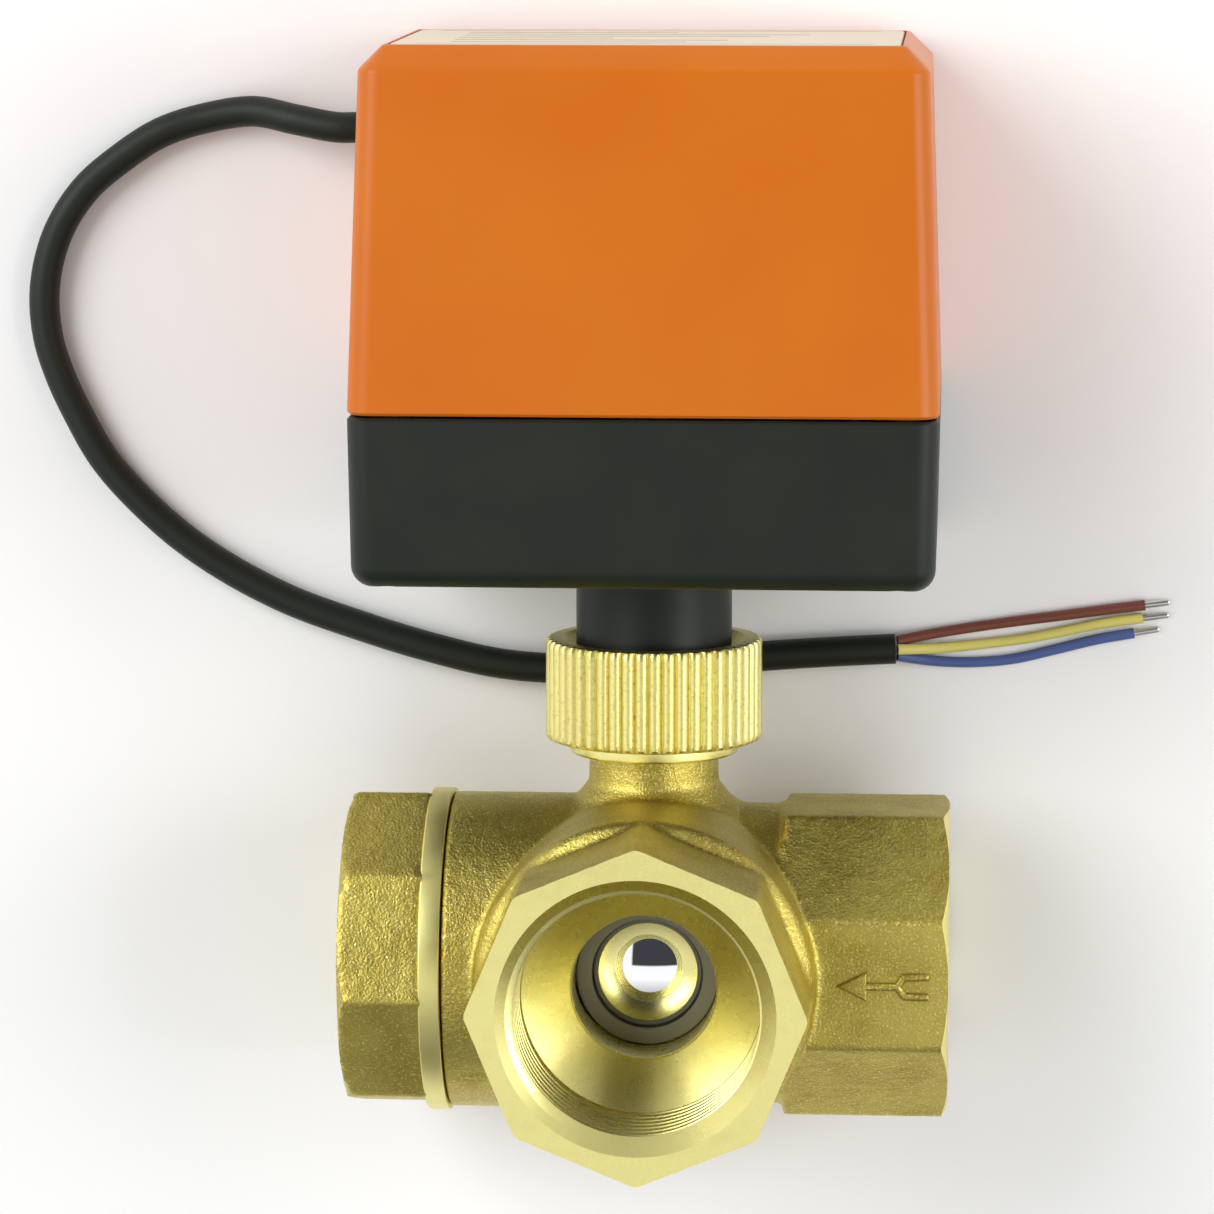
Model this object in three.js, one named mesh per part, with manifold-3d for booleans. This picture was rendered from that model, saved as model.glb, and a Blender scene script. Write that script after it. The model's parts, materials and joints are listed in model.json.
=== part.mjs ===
// Motorised three-way ball valve: a cast brass T-port ball valve, and a geared electric actuator
// that a knurled union nut holds on the valve's bonnet. Millimetres.
//
// The valve lies on its back, as it does on a bench:
//   +X  along the pipe run, towards the inlet port
//   +Y  along the stem, from the ball towards the actuator
//   +Z  up, along the branch port
// Every piece is drawn around the centre of the ball. The last lines move the whole, so that the
// origin is on the bench, under the middle of the object.

import * as THREE from "three";
import { mergeVertices } from "three/addons/utils/BufferGeometryUtils.js";
import Module from "manifold-3d";

const wasm = await Module();
wasm.setup();

// ---- Driving dimensions ----

const gap = 0.3; // clearance between pieces that touch
const benchZ = -21.5; // the bench, and everything that rests on it

// Valve body. Distances run out from the centre of the ball.
const port = {
  flats: 39, // across the flats of the octagonal ends
  faceRadius: 17.25, // outer edge of the thread's lead-in chamfer
  threadRadius: 15.15, // minor radius of the G1 thread
  threadEnd: 26, // where the thread stops and the funnel starts
  funnelEnd: 21.7, // where the funnel meets the throat
  throatRadius: 9.1,
};
const inletEnd = 38;
const outletEnd = 39;
const branchEnd = 40;
const hubRadius = 21.4; // the round hub behind the branch port
const hubFront = 24;
const barrelRadius = 20.3; // the round barrel on the outlet side
const barrelEnd = 25.8;
const inletNeckRadius = 19.3; // between the hub and the inlet octagon
const inletOctagonStart = 17;
const cavityRadius = 15.6; // the chamber that the ball turns in
const capThreadRadius = 17.4; // the end cap's spigot screws in here
const capThreadEnd = 17.5;
const capShoulder = 18.6; // the gasket lies between the cap's shoulder and the body's
const capRingRadius = 20.8;
const capRingEnd = 28.6;
const capTwist = THREE.MathUtils.degToRad(15); // how far round the cap stopped when tightened

const bonnet = { neckRadius: 8.3, headRadius: 10.8, headStart: 26.3, headEnd: 34 };

const ballRadius = 15;
const ballBoreRadius = 7;
const seat = { inner: 7.05, outer: 8.8, face: 14.4 };

// The stem, from its blade in the ball's slot up to the square that the drive shaft turns.
const stem = {
  radius: 4,
  boreRadius: 4.4,
  square: 5.6,
  slotBottom: 12.1,
  collarBottom: 15.3,
  collarTop: 16.7,
  collarRadius: 5.5,
  washerTop: 17.8,
  grooves: [20, 24], // the heights of the two O-rings
  grooveWidth: 2.2,
  grooveRadius: 2.8,
  shoulder: 31,
  top: 39,
};

// Union nut and the actuator's neck.
const nut = { bottom: 28, top: 41, radius: 13.85, groove: 0.6, ribs: 48, threadRadius: 11.1, lip: 37.8 };
const neck = { radius: 9.95, bore: 7.6, flangeRadius: 10.8, bottom: 34.3, flangeTop: 36.2 };

// Actuator housing.
const housing = {
  width: 72.7,
  back: benchZ,
  front: 29,
  bottom: 51,
  seam: 72.3,
  top: 117.5,
  wall: 2,
  corner: 3,
  chamfer: 3,
  coverDraft: 0.035, // how much narrower the cover gets, per millimetre of height
  baseDraft: 0.018,
};
const floorTop = housing.bottom + 2.3;
const label = { halfWidth: 31.2, back: -17.9, front: 23.8, thickness: 0.5 };
const screwPlaces = [
  [-31.4, 24],
  [31.4, 24],
  [31.4, -16.6],
  [-31.4, -16.6],
];

// Gear train, in plan (x, z), with its three levels along the stem.
const gearModule = 0.8;
const outputTeeth = 40;
const wheelTeeth = 32;
const pinionTeeth = 12;
const camLevel = [57.3, 60];
const outputLevel = [61, 64];
const wheelLevel = [65, 67.5];
const plateLevel = [68.6, 70.1];
const outputToIdler = THREE.MathUtils.degToRad(30);
const idlerToMotor = THREE.MathUtils.degToRad(185);
const idlerPlace = along([0, 0], outputToIdler, (gearModule * (outputTeeth + pinionTeeth)) / 2);
const motorShaftPlace = along(idlerPlace, idlerToMotor, (gearModule * (wheelTeeth + pinionTeeth)) / 2);
const axleRadius = 1.5;
const shaftRadius = 5.5;
const shaft = {
  bottom: 35.3,
  ringGroove: [55.4, 57], // the snap ring's groove, just above the neck
  grooveRadius: 4.6,
  journalRadius: 2.6,
  top: 69.8,
};

// Motor, circuit board and cable.
const motor = { place: [-8, 3.7], radius: 17.5, bottom: 71.7, top: 89.5, earReach: 21.5 };
const boardLevel = [96, 97.6];
const boardPosts = [
  [-26.5, 20.5],
  [26.5, 20.5],
  [26.5, -13.5],
  [-26.5, -13.5],
];
const cableRadius = 2;
const coreRadius = 0.7;
const gland = { y: 105, z: -14.5, nose: 39 };
const cableZ = benchZ + cableRadius + 0.05; // the height of a cable that lies on the bench
const coreZ = benchZ + coreRadius + 0.05;

// Facets round a turned shape: large outer shapes, most pieces, and small ones.
const fine = 32;
const medium = 24;
const coarse = 12;

// ---- Finishes ----

const finish = (color, roughness, metalness = 0) =>
  new THREE.MeshStandardMaterial({ color, roughness, metalness });
const castBrass = finish("#b9a552", 0.55, 1);
const turnedBrass = finish("#e2d680", 0.3, 1);
const nutBrass = finish("#d8c468", 0.4, 1);
const chromed = finish("#d9dbdd", 0.08, 1);
const steel = finish("#9a9c9e", 0.35, 1);
const bronze = finish("#a77a45", 0.45, 1);
const ptfe = finish("#7c7a70", 0.5);
const rubber = finish("#1c1c1b", 0.85);
const blackNylon = finish("#2f352e", 0.5);
const orangeAbs = finish("#dc7826", 0.4);
const whiteAcetal = finish("#e8e4d8", 0.45);
const labelFoil = finish("#e0d2b8", 0.45, 0.3);
const greenBoard = finish("#1f5f3a", 0.5);
const switchCase = finish("#27272b", 0.5);
const relayCase = finish("#2f5f9a", 0.45);
const brownPvc = finish("#7b3d32", 0.5);
const yellowPvc = finish("#d8cf72", 0.5);
const bluePvc = finish("#3f5a92", 0.5);

// ---- Tools ----

function along([x, z], angle, distance) {
  return [x + distance * Math.cos(angle), z + distance * Math.sin(angle)];
}

// A closed geometry as a manifold-3d solid.
function solidOf(geometry) {
  const bare = geometry.clone();
  bare.deleteAttribute("normal");
  bare.deleteAttribute("uv");
  const merged = mergeVertices(bare, 1e-4);
  return new wasm.Manifold(
    new wasm.Mesh({
      numProp: 3,
      vertProperties: new Float32Array(merged.attributes.position.array),
      triVerts: new Uint32Array(merged.index.array),
    }),
  );
}

function geometryOf(solid) {
  const mesh = solid.getMesh();
  return new THREE.BufferGeometry()
    .setAttribute("position", new THREE.BufferAttribute(mesh.vertProperties, 3))
    .setIndex(new THREE.BufferAttribute(mesh.triVerts, 1));
}

function join(...geometries) {
  return geometryOf(geometries.map(solidOf).reduce((whole, next) => whole.add(next)));
}

function cut(geometry, ...tools) {
  return geometryOf(tools.map(solidOf).reduce((rest, tool) => rest.subtract(tool), solidOf(geometry)));
}

// A profile of [radius, distance] points, anticlockwise, turned about an axis through the ball.
// It starts and ends on the axis, or it closes on itself.
function turned(profile, { segments = medium, axis = "y" } = {}) {
  const points = profile.map(([radius, distance]) => new THREE.Vector2(radius, distance));
  if (profile[0][0] > 0) points.push(points[0].clone());
  const geometry = new THREE.LatheGeometry(points, segments);
  if (axis === "x") geometry.rotateZ(-Math.PI / 2);
  if (axis === "z") geometry.rotateX(Math.PI / 2);
  return geometry;
}

// A disc or bar of one radius between two distances along an axis.
function round(radius, from, to, options) {
  return turned([[0, from], [radius, from], [radius, to], [0, to]], options);
}

// A washer or sleeve.
function ring(inner, outer, from, to, options) {
  return turned([[inner, from], [outer, from], [outer, to], [inner, to]], options);
}

// An outline of [x, z] points in plan, raised along the stem from one height to another.
function prism(outline, from, to) {
  const shape = new THREE.Shape(outline.map(([x, z]) => new THREE.Vector2(x, -z)));
  const geometry = new THREE.ExtrudeGeometry(shape, { depth: to - from, bevelEnabled: false });
  return geometry.rotateX(-Math.PI / 2).translate(0, from, 0);
}

function block([x0, y0, z0], [x1, y1, z1]) {
  const geometry = new THREE.BoxGeometry(x1 - x0, y1 - y0, z1 - z0);
  return geometry.translate((x0 + x1) / 2, (y0 + y1) / 2, (z0 + z1) / 2);
}

// A round bar along the stem at a place in plan.
function post([x, z], radius, from, to, segments = coarse) {
  return round(radius, from, to, { segments }).translate(x, 0, z);
}

// An octagonal prism along +Z. cornersUp turns a corner, rather than a flat, to the top.
function octagon(flats, from, to, cornersUp = false) {
  const cornerRadius = flats / 2 / Math.cos(Math.PI / 8);
  const shape = new THREE.Shape();
  for (let i = 0; i < 8; i++) {
    const angle = (i + (cornersUp ? 0 : 0.5)) * (Math.PI / 4);
    shape[i ? "lineTo" : "moveTo"](cornerRadius * Math.cos(angle), cornerRadius * Math.sin(angle));
  }
  shape.closePath();
  return new THREE.ExtrudeGeometry(shape, { depth: to - from, bevelEnabled: false }).translate(0, 0, from);
}

// A rectangle in plan with round corners, as an outline of [x, z] points.
function roundedRectangle(x0, z0, x1, z1, radius, cornerSteps = 4) {
  const corners = [
    [x1 - radius, z1 - radius, 0],
    [x0 + radius, z1 - radius, 1],
    [x0 + radius, z0 + radius, 2],
    [x1 - radius, z0 + radius, 3],
  ];
  return corners.flatMap(([x, z, quarter]) =>
    Array.from({ length: cornerSteps + 1 }, (_, i) =>
      along([x, z], (quarter + i / cornerSteps) * (Math.PI / 2), radius),
    ),
  );
}

// Gear outline with straight-sided teeth. One tooth is centred on the angle "phase".
function gearOutline(teeth, phase) {
  const pitch = (teeth * gearModule) / 2;
  const tip = { radius: pitch + 0.7 * gearModule, half: 0.24 };
  const root = { radius: pitch - 1.15 * gearModule, half: 0.62 };
  return Array.from({ length: teeth }, (_, i) => {
    const angle = phase + (i / teeth) * 2 * Math.PI;
    return [
      along([0, 0], angle - root.half / root.radius, root.radius),
      along([0, 0], angle - tip.half / tip.radius, tip.radius),
      along([0, 0], angle + tip.half / tip.radius, tip.radius),
      along([0, 0], angle + root.half / root.radius, root.radius),
    ];
  }).flat();
}

function gear(teeth, phase, [from, to], boreRadius, [x, z] = [0, 0]) {
  const blank = prism(gearOutline(teeth, phase), from, to);
  const bore = round(boreRadius, from - 1, to + 1, { segments: coarse });
  return cut(blank, bore).translate(x, 0, z);
}

// Screw along the stem with its head at the low end.
function screw([x, z], { head, shank, bottom, neckAt, top }) {
  return turned(
    [[0, bottom], [head, bottom], [head, neckAt], [shank, neckAt], [shank, top], [0, top]],
    { segments: 12 },
  ).translate(x, 0, z);
}

// A round cable along a smooth curve through points.
function tube(points, radius, steps) {
  const sides = 8;
  const section = new THREE.Shape();
  for (let i = 0; i < sides; i++) {
    const angle = (i / sides) * 2 * Math.PI;
    section[i ? "lineTo" : "moveTo"](radius * Math.cos(angle), radius * Math.sin(angle));
  }
  section.closePath();
  const path = new THREE.CatmullRomCurve3(points.map((p) => new THREE.Vector3(...p)), false, "centripetal");
  return new THREE.ExtrudeGeometry(section, { steps, extrudePath: path, bevelEnabled: false });
}

function assembly(...meshes) {
  const group = new THREE.Group();
  group.add(...meshes);
  return group;
}

function piece(name, geometry, material) {
  const mesh = new THREE.Mesh(geometry, material);
  mesh.name = name;
  return mesh;
}

// ---- Valve ----

// The bore of a threaded port, from past its face down to "depth", as a solid to cut away.
function portBore(end, depth, throatRadius, axis) {
  const past = 1;
  return turned(
    [
      [0, depth],
      [throatRadius, depth],
      [throatRadius, port.funnelEnd],
      [port.threadRadius, port.threadEnd],
      [port.threadRadius, end - (port.faceRadius - port.threadRadius)],
      [port.faceRadius, end],
      [port.faceRadius, end + past],
      [0, end + past],
    ],
    { axis },
  );
}

// The cast flow arrow on the inlet's upper flat. It points towards the ball.
function flowArrow() {
  const flat = port.flats / 2;
  const bars = [
    // centre x, centre y, length, turn in degrees
    [29.4, 0, 9, 0],
    [25.2, 1, 3.6, 35],
    [25.2, -1, 3.6, -35],
    [34.3, 1.1, 2.6, 35],
    [34.3, -1.1, 2.6, -35],
  ];
  return bars.map(([x, y, length, turn]) =>
    new THREE.BoxGeometry(length, 0.8, 1.2)
      .rotateZ(THREE.MathUtils.degToRad(turn))
      .translate(x, y, flat),
  );
}

// The chamber that the ball turns in: a bore from the outlet side with a domed end.
function chamber() {
  const dome = Array.from({ length: 7 }, (_, i) => {
    const angle = (i / 6) * (Math.PI / 2);
    return [cavityRadius * Math.cos(angle), cavityRadius * Math.sin(angle)];
  });
  dome[6][0] = 0;
  return turned([[0, -barrelEnd + 2], [cavityRadius, -barrelEnd + 2], ...dome], { axis: "x" });
}

function valveBody() {
  const flip = Math.PI / 2;
  const hub = turned(
    [
      [0, benchZ],
      [7, benchZ],
      [7, -20.2],
      [12, -17.7],
      [16.5, -13.6],
      [19.8, -8.1],
      [hubRadius, -1.5],
      [hubRadius, hubFront - 2.5],
      [hubRadius - 0.8, hubFront - 0.8],
      [hubRadius - 2.5, hubFront],
      [0, hubFront],
    ],
    { segments: fine, axis: "z" },
  );
  const outletBarrel = round(barrelRadius, -barrelEnd, 0, { segments: fine, axis: "x" });
  const inletNeck = round(inletNeckRadius, 0, inletOctagonStart + 1, { segments: fine, axis: "x" });
  const inletOctagon = octagon(port.flats, inletOctagonStart, inletEnd).rotateY(flip);
  const branchOctagon = octagon(port.flats, hubFront - 2, branchEnd, true);
  const bonnetShape = turned([
    [0, 10],
    [16, 14],
    [13, 18.2],
    [10, 20.3],
    [bonnet.neckRadius, 22.5],
    [bonnet.neckRadius, bonnet.headStart],
    [bonnet.headRadius, bonnet.headStart],
    [bonnet.headRadius, bonnet.headEnd],
    [0, bonnet.headEnd],
  ]);
  const outside = join(
    hub,
    outletBarrel,
    inletNeck,
    inletOctagon,
    branchOctagon,
    bonnetShape,
    ...flowArrow(),
  );
  const seatPocket = seat.face + gap;
  return cut(
    outside,
    chamber(),
    round(capThreadRadius, -barrelEnd - 1, -capThreadEnd, { axis: "x" }),
    round(port.throatRadius, 0, seatPocket, { axis: "x" }),
    round(port.throatRadius, -seatPocket, 0, { axis: "z" }),
    portBore(inletEnd, seatPocket - 1, ballBoreRadius, "x"),
    portBore(branchEnd, 0, port.throatRadius, "z"),
    round(stem.collarRadius + 0.4, 10, stem.washerTop + gap),
    round(stem.boreRadius, 10, bonnet.headEnd + 1),
  );
}

// The octagonal cap that closes the chamber and carries the outlet thread.
function endCap() {
  const flip = -Math.PI / 2;
  const nose = seat.face + gap;
  const clearOfBall = Math.sqrt((ballRadius + gap) ** 2 - port.throatRadius ** 2) + 0.1;
  const spigot = turned(
    [
      [0, clearOfBall],
      [cavityRadius - gap, clearOfBall],
      [cavityRadius - gap, capShoulder],
      [capThreadRadius - gap, capShoulder],
      [capThreadRadius - gap, barrelEnd + gap],
      [capRingRadius, barrelEnd + gap],
      [capRingRadius, capRingEnd],
      [0, capRingEnd],
    ],
    { segments: fine, axis: "z" },
  );
  const octagonalEnd = octagon(port.flats, capRingEnd - 1, outletEnd).rotateZ(capTwist);
  const chamferCone = turned(
    [
      [0, capRingEnd - 2],
      [capRingRadius + 1, capRingEnd - 2],
      [capRingRadius + 1, outletEnd - 2.2],
      [port.flats / 2 - 0.6, outletEnd],
      [0, outletEnd],
    ],
    { segments: fine, axis: "z" },
  );
  const chamfered = geometryOf(solidOf(octagonalEnd).intersect(solidOf(chamferCone)));
  return cut(
    join(spigot, chamfered),
    portBore(outletEnd, nose - 1, ballBoreRadius, "z"),
    round(port.throatRadius, 0, nose, { axis: "z" }),
  ).rotateY(flip);
}

// A seat ring for the port on +Z, hollowed to the ball.
function seatRing() {
  const clear = ballRadius + gap;
  const onBall = (radius) => Math.sqrt(clear * clear - radius * radius);
  const middle = (seat.inner + seat.outer) / 2;
  return turned(
    [
      [seat.inner, onBall(seat.inner)],
      [middle, onBall(middle)],
      [seat.outer, onBall(seat.outer)],
      [seat.outer, seat.face],
      [seat.inner, seat.face],
    ],
    { axis: "z" },
  );
}

// The ball: open to the inlet, the outlet and the back at rest, and solid towards the branch.
function ball() {
  const sphere = new THREE.SphereGeometry(ballRadius, medium, 16);
  return cut(
    sphere,
    round(ballBoreRadius, -20, 20, { axis: "x" }),
    round(ballBoreRadius, -20, 0, { axis: "z" }),
    block([-20, stem.slotBottom, -1.7], [20, 20, 1.7]),
  );
}

function valveStem() {
  const { radius, collarRadius, collarBottom, collarTop, grooveWidth, grooveRadius, shoulder, top } = stem;
  const grooves = stem.grooves.flatMap((height) => [
    [radius, height - grooveWidth / 2],
    [grooveRadius, height - grooveWidth / 2],
    [grooveRadius, height + grooveWidth / 2],
    [radius, height + grooveWidth / 2],
  ]);
  const bar = turned([
    [0, collarBottom],
    [collarRadius, collarBottom],
    [collarRadius, collarTop],
    [radius, collarTop],
    ...grooves,
    [radius, shoulder],
    [0, shoulder],
  ]);
  const blade = block([-4.6, stem.slotBottom + gap, -1.4], [4.6, collarBottom + 0.7, 1.4]);
  const half = stem.square / 2;
  const square = block([-half, shoulder - 1, -half], [half, top, half]);
  return join(bar, blade, square);
}

function oRing(centreRadius, sectionRadius, height) {
  const sides = 6;
  const section = Array.from({ length: sides }, (_, i) => {
    const angle = (i / sides) * 2 * Math.PI;
    return [centreRadius + sectionRadius * Math.cos(angle), height + sectionRadius * Math.sin(angle)];
  });
  return turned(section, { segments: coarse });
}

function valve() {
  const quarter = Math.PI / 2;
  const gasket = ring(cavityRadius + 0.15, capThreadRadius - gap, -capShoulder + gap, -capThreadEnd - gap, {
    axis: "x",
  });
  const { collarRadius, collarTop, washerTop } = stem;
  const thrustWasher = ring(stem.radius + gap, collarRadius + 0.1, collarTop + gap, washerTop, {
    segments: coarse,
  });
  return assembly(
    piece("valve_body", valveBody(), castBrass),
    piece("end_cap", endCap(), castBrass),
    piece("end_cap_gasket", gasket, ptfe),
    piece("branch_seat", seatRing(), ptfe),
    piece("inlet_seat", seatRing().rotateY(quarter), ptfe),
    piece("outlet_seat", seatRing().rotateY(-quarter), ptfe),
    piece("rear_seat", seatRing().rotateY(2 * quarter), ptfe),
    piece("stem_thrust_washer", thrustWasher, ptfe),
    piece("ball", ball(), chromed),
    piece("stem", valveStem(), turnedBrass),
    piece("stem_o_ring_lower", oRing(3.6, 0.5, stem.grooves[0]), rubber),
    piece("stem_o_ring_upper", oRing(3.6, 0.5, stem.grooves[1]), rubber),
  );
}

// ---- Union nut ----

function unionNut() {
  const outline = Array.from({ length: nut.ribs }, (_, i) => {
    const pitch = (2 * Math.PI) / nut.ribs;
    const valley = nut.radius - nut.groove;
    return [
      along([0, 0], (i - 0.25) * pitch, nut.radius),
      along([0, 0], (i + 0.25) * pitch, nut.radius),
      along([0, 0], (i + 0.5) * pitch, valley),
    ];
  }).flat();
  const lipRadius = neck.radius + gap;
  const countersinkDepth = 1.6;
  const countersink = turned([
    [0, nut.top - countersinkDepth],
    [lipRadius, nut.top - countersinkDepth],
    [lipRadius + 1.8, nut.top + 0.2],
    [0, nut.top + 0.2],
  ]);
  return cut(
    prism(outline, nut.bottom, nut.top),
    round(nut.threadRadius, nut.bottom - 1, nut.lip),
    round(lipRadius, nut.lip - 1, nut.top + 1),
    countersink,
  );
}

function nutAssembly() {
  const washer = ring(neck.radius + gap, nut.threadRadius - 0.15, neck.flangeTop + gap, nut.lip - gap);
  return assembly(
    piece("union_nut", unionNut(), nutBrass),
    piece("nut_thrust_washer", washer, ptfe),
  );
}

// ---- Actuator housing ----

// Narrows a shape with height above "from": both sides alike, and the front towards the back.
function drafted(geometry, from, perMillimetre) {
  const places = geometry.attributes.position;
  const half = housing.width / 2;
  const depth = housing.front - housing.back;
  for (let i = 0; i < places.count; i++) {
    const inset = perMillimetre * (places.getY(i) - from);
    places.setX(i, places.getX(i) * (1 - inset / half));
    places.setZ(i, housing.back + (places.getZ(i) - housing.back) * (1 - inset / depth));
  }
  return geometry;
}

// The housing's outline, moved in by "inset".
function housingOutline(inset) {
  const half = housing.width / 2 - inset;
  const radius = Math.max(housing.corner - inset, 0.8);
  return roundedRectangle(-half, housing.back + inset, half, housing.front - inset, radius);
}

// A block with the housing's outline whose lower or upper edges are eased by a bevel.
function easedBlock(from, to, bevel, steps) {
  const shape = new THREE.Shape(housingOutline(bevel).map(([x, z]) => new THREE.Vector2(x, -z)));
  const geometry = new THREE.ExtrudeGeometry(shape, {
    depth: to - from - 2 * bevel,
    bevelThickness: bevel,
    bevelSize: bevel,
    bevelSegments: steps,
  });
  return geometry.rotateX(-Math.PI / 2).translate(0, from + bevel, 0);
}

function cover() {
  const { seam, top, chamfer, wall, coverDraft } = housing;
  const bottom = seam + gap / 2;
  const below = 10;
  const outside = cut(
    drafted(easedBlock(seam - below, top, chamfer, 1), seam, coverDraft),
    block([-60, 0, -60], [60, bottom, 60]),
  );
  const inside = drafted(prism(housingOutline(wall), seam - below, top - wall - 0.6), seam, coverDraft);
  const lip = prism(housingOutline(wall / 2), seam - below, seam + 1.1);
  const labelHalf = label.halfWidth + gap;
  const labelRecess = block(
    [-labelHalf, top - label.thickness - gap, label.back - gap],
    [labelHalf, top + 1, label.front + gap],
  );
  const bosses = screwPlaces.map((place) => post(place, 2.7, plateLevel[1] + gap, 92));
  const pilots = screwPlaces.map((place) => post(place, 1.8, 60, 84));
  const glandHole = round(3.2, -45, -25, { segments: coarse, axis: "x" }).translate(0, gland.y, gland.z);
  return cut(join(cut(outside, inside, lip, labelRecess), ...bosses), ...pilots, glandHole);
}

function base() {
  const { bottom, seam, wall, baseDraft } = housing;
  const top = seam - gap / 2;
  const outside = cut(
    drafted(easedBlock(bottom, seam + 10, 2.6, 3), seam, -baseDraft),
    block([-60, top, -60], [60, 200, 60]),
  );
  const inside = prism(housingOutline(wall), floorTop, seam + 12);
  const posts = screwPlaces.map((place) => post(place, 3.4, floorTop - 1, plateLevel[0] - gap));
  const screwHoles = screwPlaces.flatMap((place) => [
    post(place, 1.8, bottom - 1, 80),
    post(place, 2.9, bottom - 1, 53.9),
  ]);
  return cut(
    join(cut(outside, inside), ...posts),
    ...screwHoles,
    round(neck.radius + gap, bottom - 1, floorTop + 1, { segments: fine }),
  );
}

function housingGasket() {
  const { seam, wall } = housing;
  const low = seam + gap / 2 + 0.15;
  return cut(
    prism(housingOutline(wall / 2 + gap), low, low + 0.6),
    prism(housingOutline(wall - 0.1), low - 1, low + 2),
  );
}

// The black neck that the union nut clamps to the bonnet. Its upper flange sits inside the base.
function mountingNeck() {
  return turned(
    [
      [neck.bore, neck.bottom],
      [neck.flangeRadius, neck.bottom],
      [neck.flangeRadius, neck.flangeTop],
      [neck.radius, neck.flangeTop],
      [neck.radius, floorTop + gap],
      [12.3, floorTop + gap],
      [12.3, 55.4],
      [neck.bore, 55.4],
    ],
    { segments: fine },
  );
}

function labelPlate() {
  const { halfWidth, back, front, thickness } = label;
  return block([-halfWidth, housing.top - thickness, back], [halfWidth, housing.top, front]);
}

function housingAssembly() {
  const coverScrew = { head: 2.6, shank: 1.5, bottom: 51.5, neckAt: 53.4, top: 83 };
  return assembly(
    piece("cover", cover(), orangeAbs),
    piece("label_plate", labelPlate(), labelFoil),
    piece("base_housing", base(), blackNylon),
    piece("housing_gasket", housingGasket(), rubber),
    piece("mounting_neck", mountingNeck(), blackNylon),
    ...screwPlaces.map((place, i) => piece(`cover_screw_${i + 1}`, screw(place, coverScrew), steel)),
  );
}

// ---- Gear train ----

function gearPlate() {
  const { width, wall, back, front } = housing;
  const clear = wall + 0.4;
  const half = width / 2 - clear;
  const holes = [
    ...screwPlaces.map((place) => [place, 1.9]),
    [[0, 0], 2.9],
    [idlerPlace, axleRadius + gap],
    [motorShaftPlace, 3.5],
    ...motorEars().map((place) => [place, 1.5]),
  ];
  return cut(
    prism(roundedRectangle(-half, back + clear, half, front - clear, 2), ...plateLevel),
    ...holes.map(([place, radius]) => post(place, radius, plateLevel[0] - 1, plateLevel[1] + 1)),
  );
}

// The drive shaft: a square socket for the stem below, and a thin journal in the gear plate above.
function driveShaft() {
  const [grooveLow, grooveHigh] = shaft.ringGroove;
  const shoulder = outputLevel[1];
  const bar = turned([
    [0, shaft.bottom],
    [shaftRadius, shaft.bottom],
    [shaftRadius, grooveLow],
    [shaft.grooveRadius, grooveLow],
    [shaft.grooveRadius, grooveHigh],
    [shaftRadius, grooveHigh],
    [shaftRadius, shoulder],
    [shaft.journalRadius, shoulder + 0.4],
    [shaft.journalRadius, shaft.top],
    [0, shaft.top],
  ]);
  const half = stem.square / 2 + gap;
  return cut(bar, block([-half, 30, -half], [half, stem.top + 1.5, half]));
}

// A snap ring with its mouth towards +X.
function snapRing() {
  const [grooveLow, grooveHigh] = shaft.ringGroove;
  const whole = ring(shaft.grooveRadius + gap, 7.4, grooveLow + gap, grooveHigh - gap, { segments: coarse });
  return cut(whole, block([2, grooveLow - 1, -2], [10, grooveHigh + 1, 2]));
}

// The cam that presses the two end switches: a full circle with one low side.
function cam() {
  const [from, to] = camLevel;
  const outline = Array.from({ length: 32 }, (_, i) => {
    const angle = (i / 32) * 2 * Math.PI;
    const onLowSide = angle > Math.PI * 0.75 && angle < Math.PI * 1.25;
    return along([0, 0], angle, onLowSide ? 7.6 : 9);
  });
  return cut(prism(outline, from, to), round(shaftRadius + gap, from - 1, to + 1, { segments: coarse }));
}

// Wheel above and pinion below, moulded in one.
function idlerGear() {
  const wheelPhase = idlerToMotor + Math.PI / wheelTeeth;
  const pinionPhase = outputToIdler + Math.PI;
  const bore = axleRadius + gap;
  const hub = ring(bore, 3.6, outputLevel[0], wheelLevel[1], { segments: coarse }).translate(
    idlerPlace[0],
    0,
    idlerPlace[1],
  );
  return join(
    gear(wheelTeeth, wheelPhase, wheelLevel, bore, idlerPlace),
    gear(pinionTeeth, pinionPhase, outputLevel, bore, idlerPlace),
    hub,
  );
}

// An end switch that faces the cam from the angle given in plan.
function endSwitch(angle) {
  const body = block([12.7, floorTop + gap, -6.3], [19.2, 60.3, 6.3]);
  const plunger = block([9.4, 58, -0.8], [13, 59.4, 0.8]);
  return join(body, plunger).rotateY(-angle);
}

function gearTrain() {
  const outputPhase = outputToIdler + Math.PI / outputTeeth;
  return assembly(
    piece("gear_plate", gearPlate(), steel),
    piece("neck_bushing", ring(shaftRadius + gap, neck.bore - gap, 44, 54.6, { segments: medium }), bronze),
    piece("drive_shaft", driveShaft(), steel),
    piece("shaft_snap_ring", snapRing(), steel),
    piece("limit_cam", cam(), whiteAcetal),
    piece("output_gear", gear(outputTeeth, outputPhase, outputLevel, shaftRadius + gap), whiteAcetal),
    piece("idler_gear", idlerGear(), whiteAcetal),
    piece("idler_axle", post(idlerPlace, axleRadius, floorTop + gap, shaft.top), steel),
    piece("open_limit_switch", endSwitch((5 / 6) * Math.PI), switchCase),
    piece("closed_limit_switch", endSwitch((7 / 6) * Math.PI), switchCase),
  );
}

// ---- Motor ----

function motorEars() {
  const [x, z] = motor.place;
  return [
    [x - motor.earReach, z],
    [x + motor.earReach, z],
  ];
}

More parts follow.
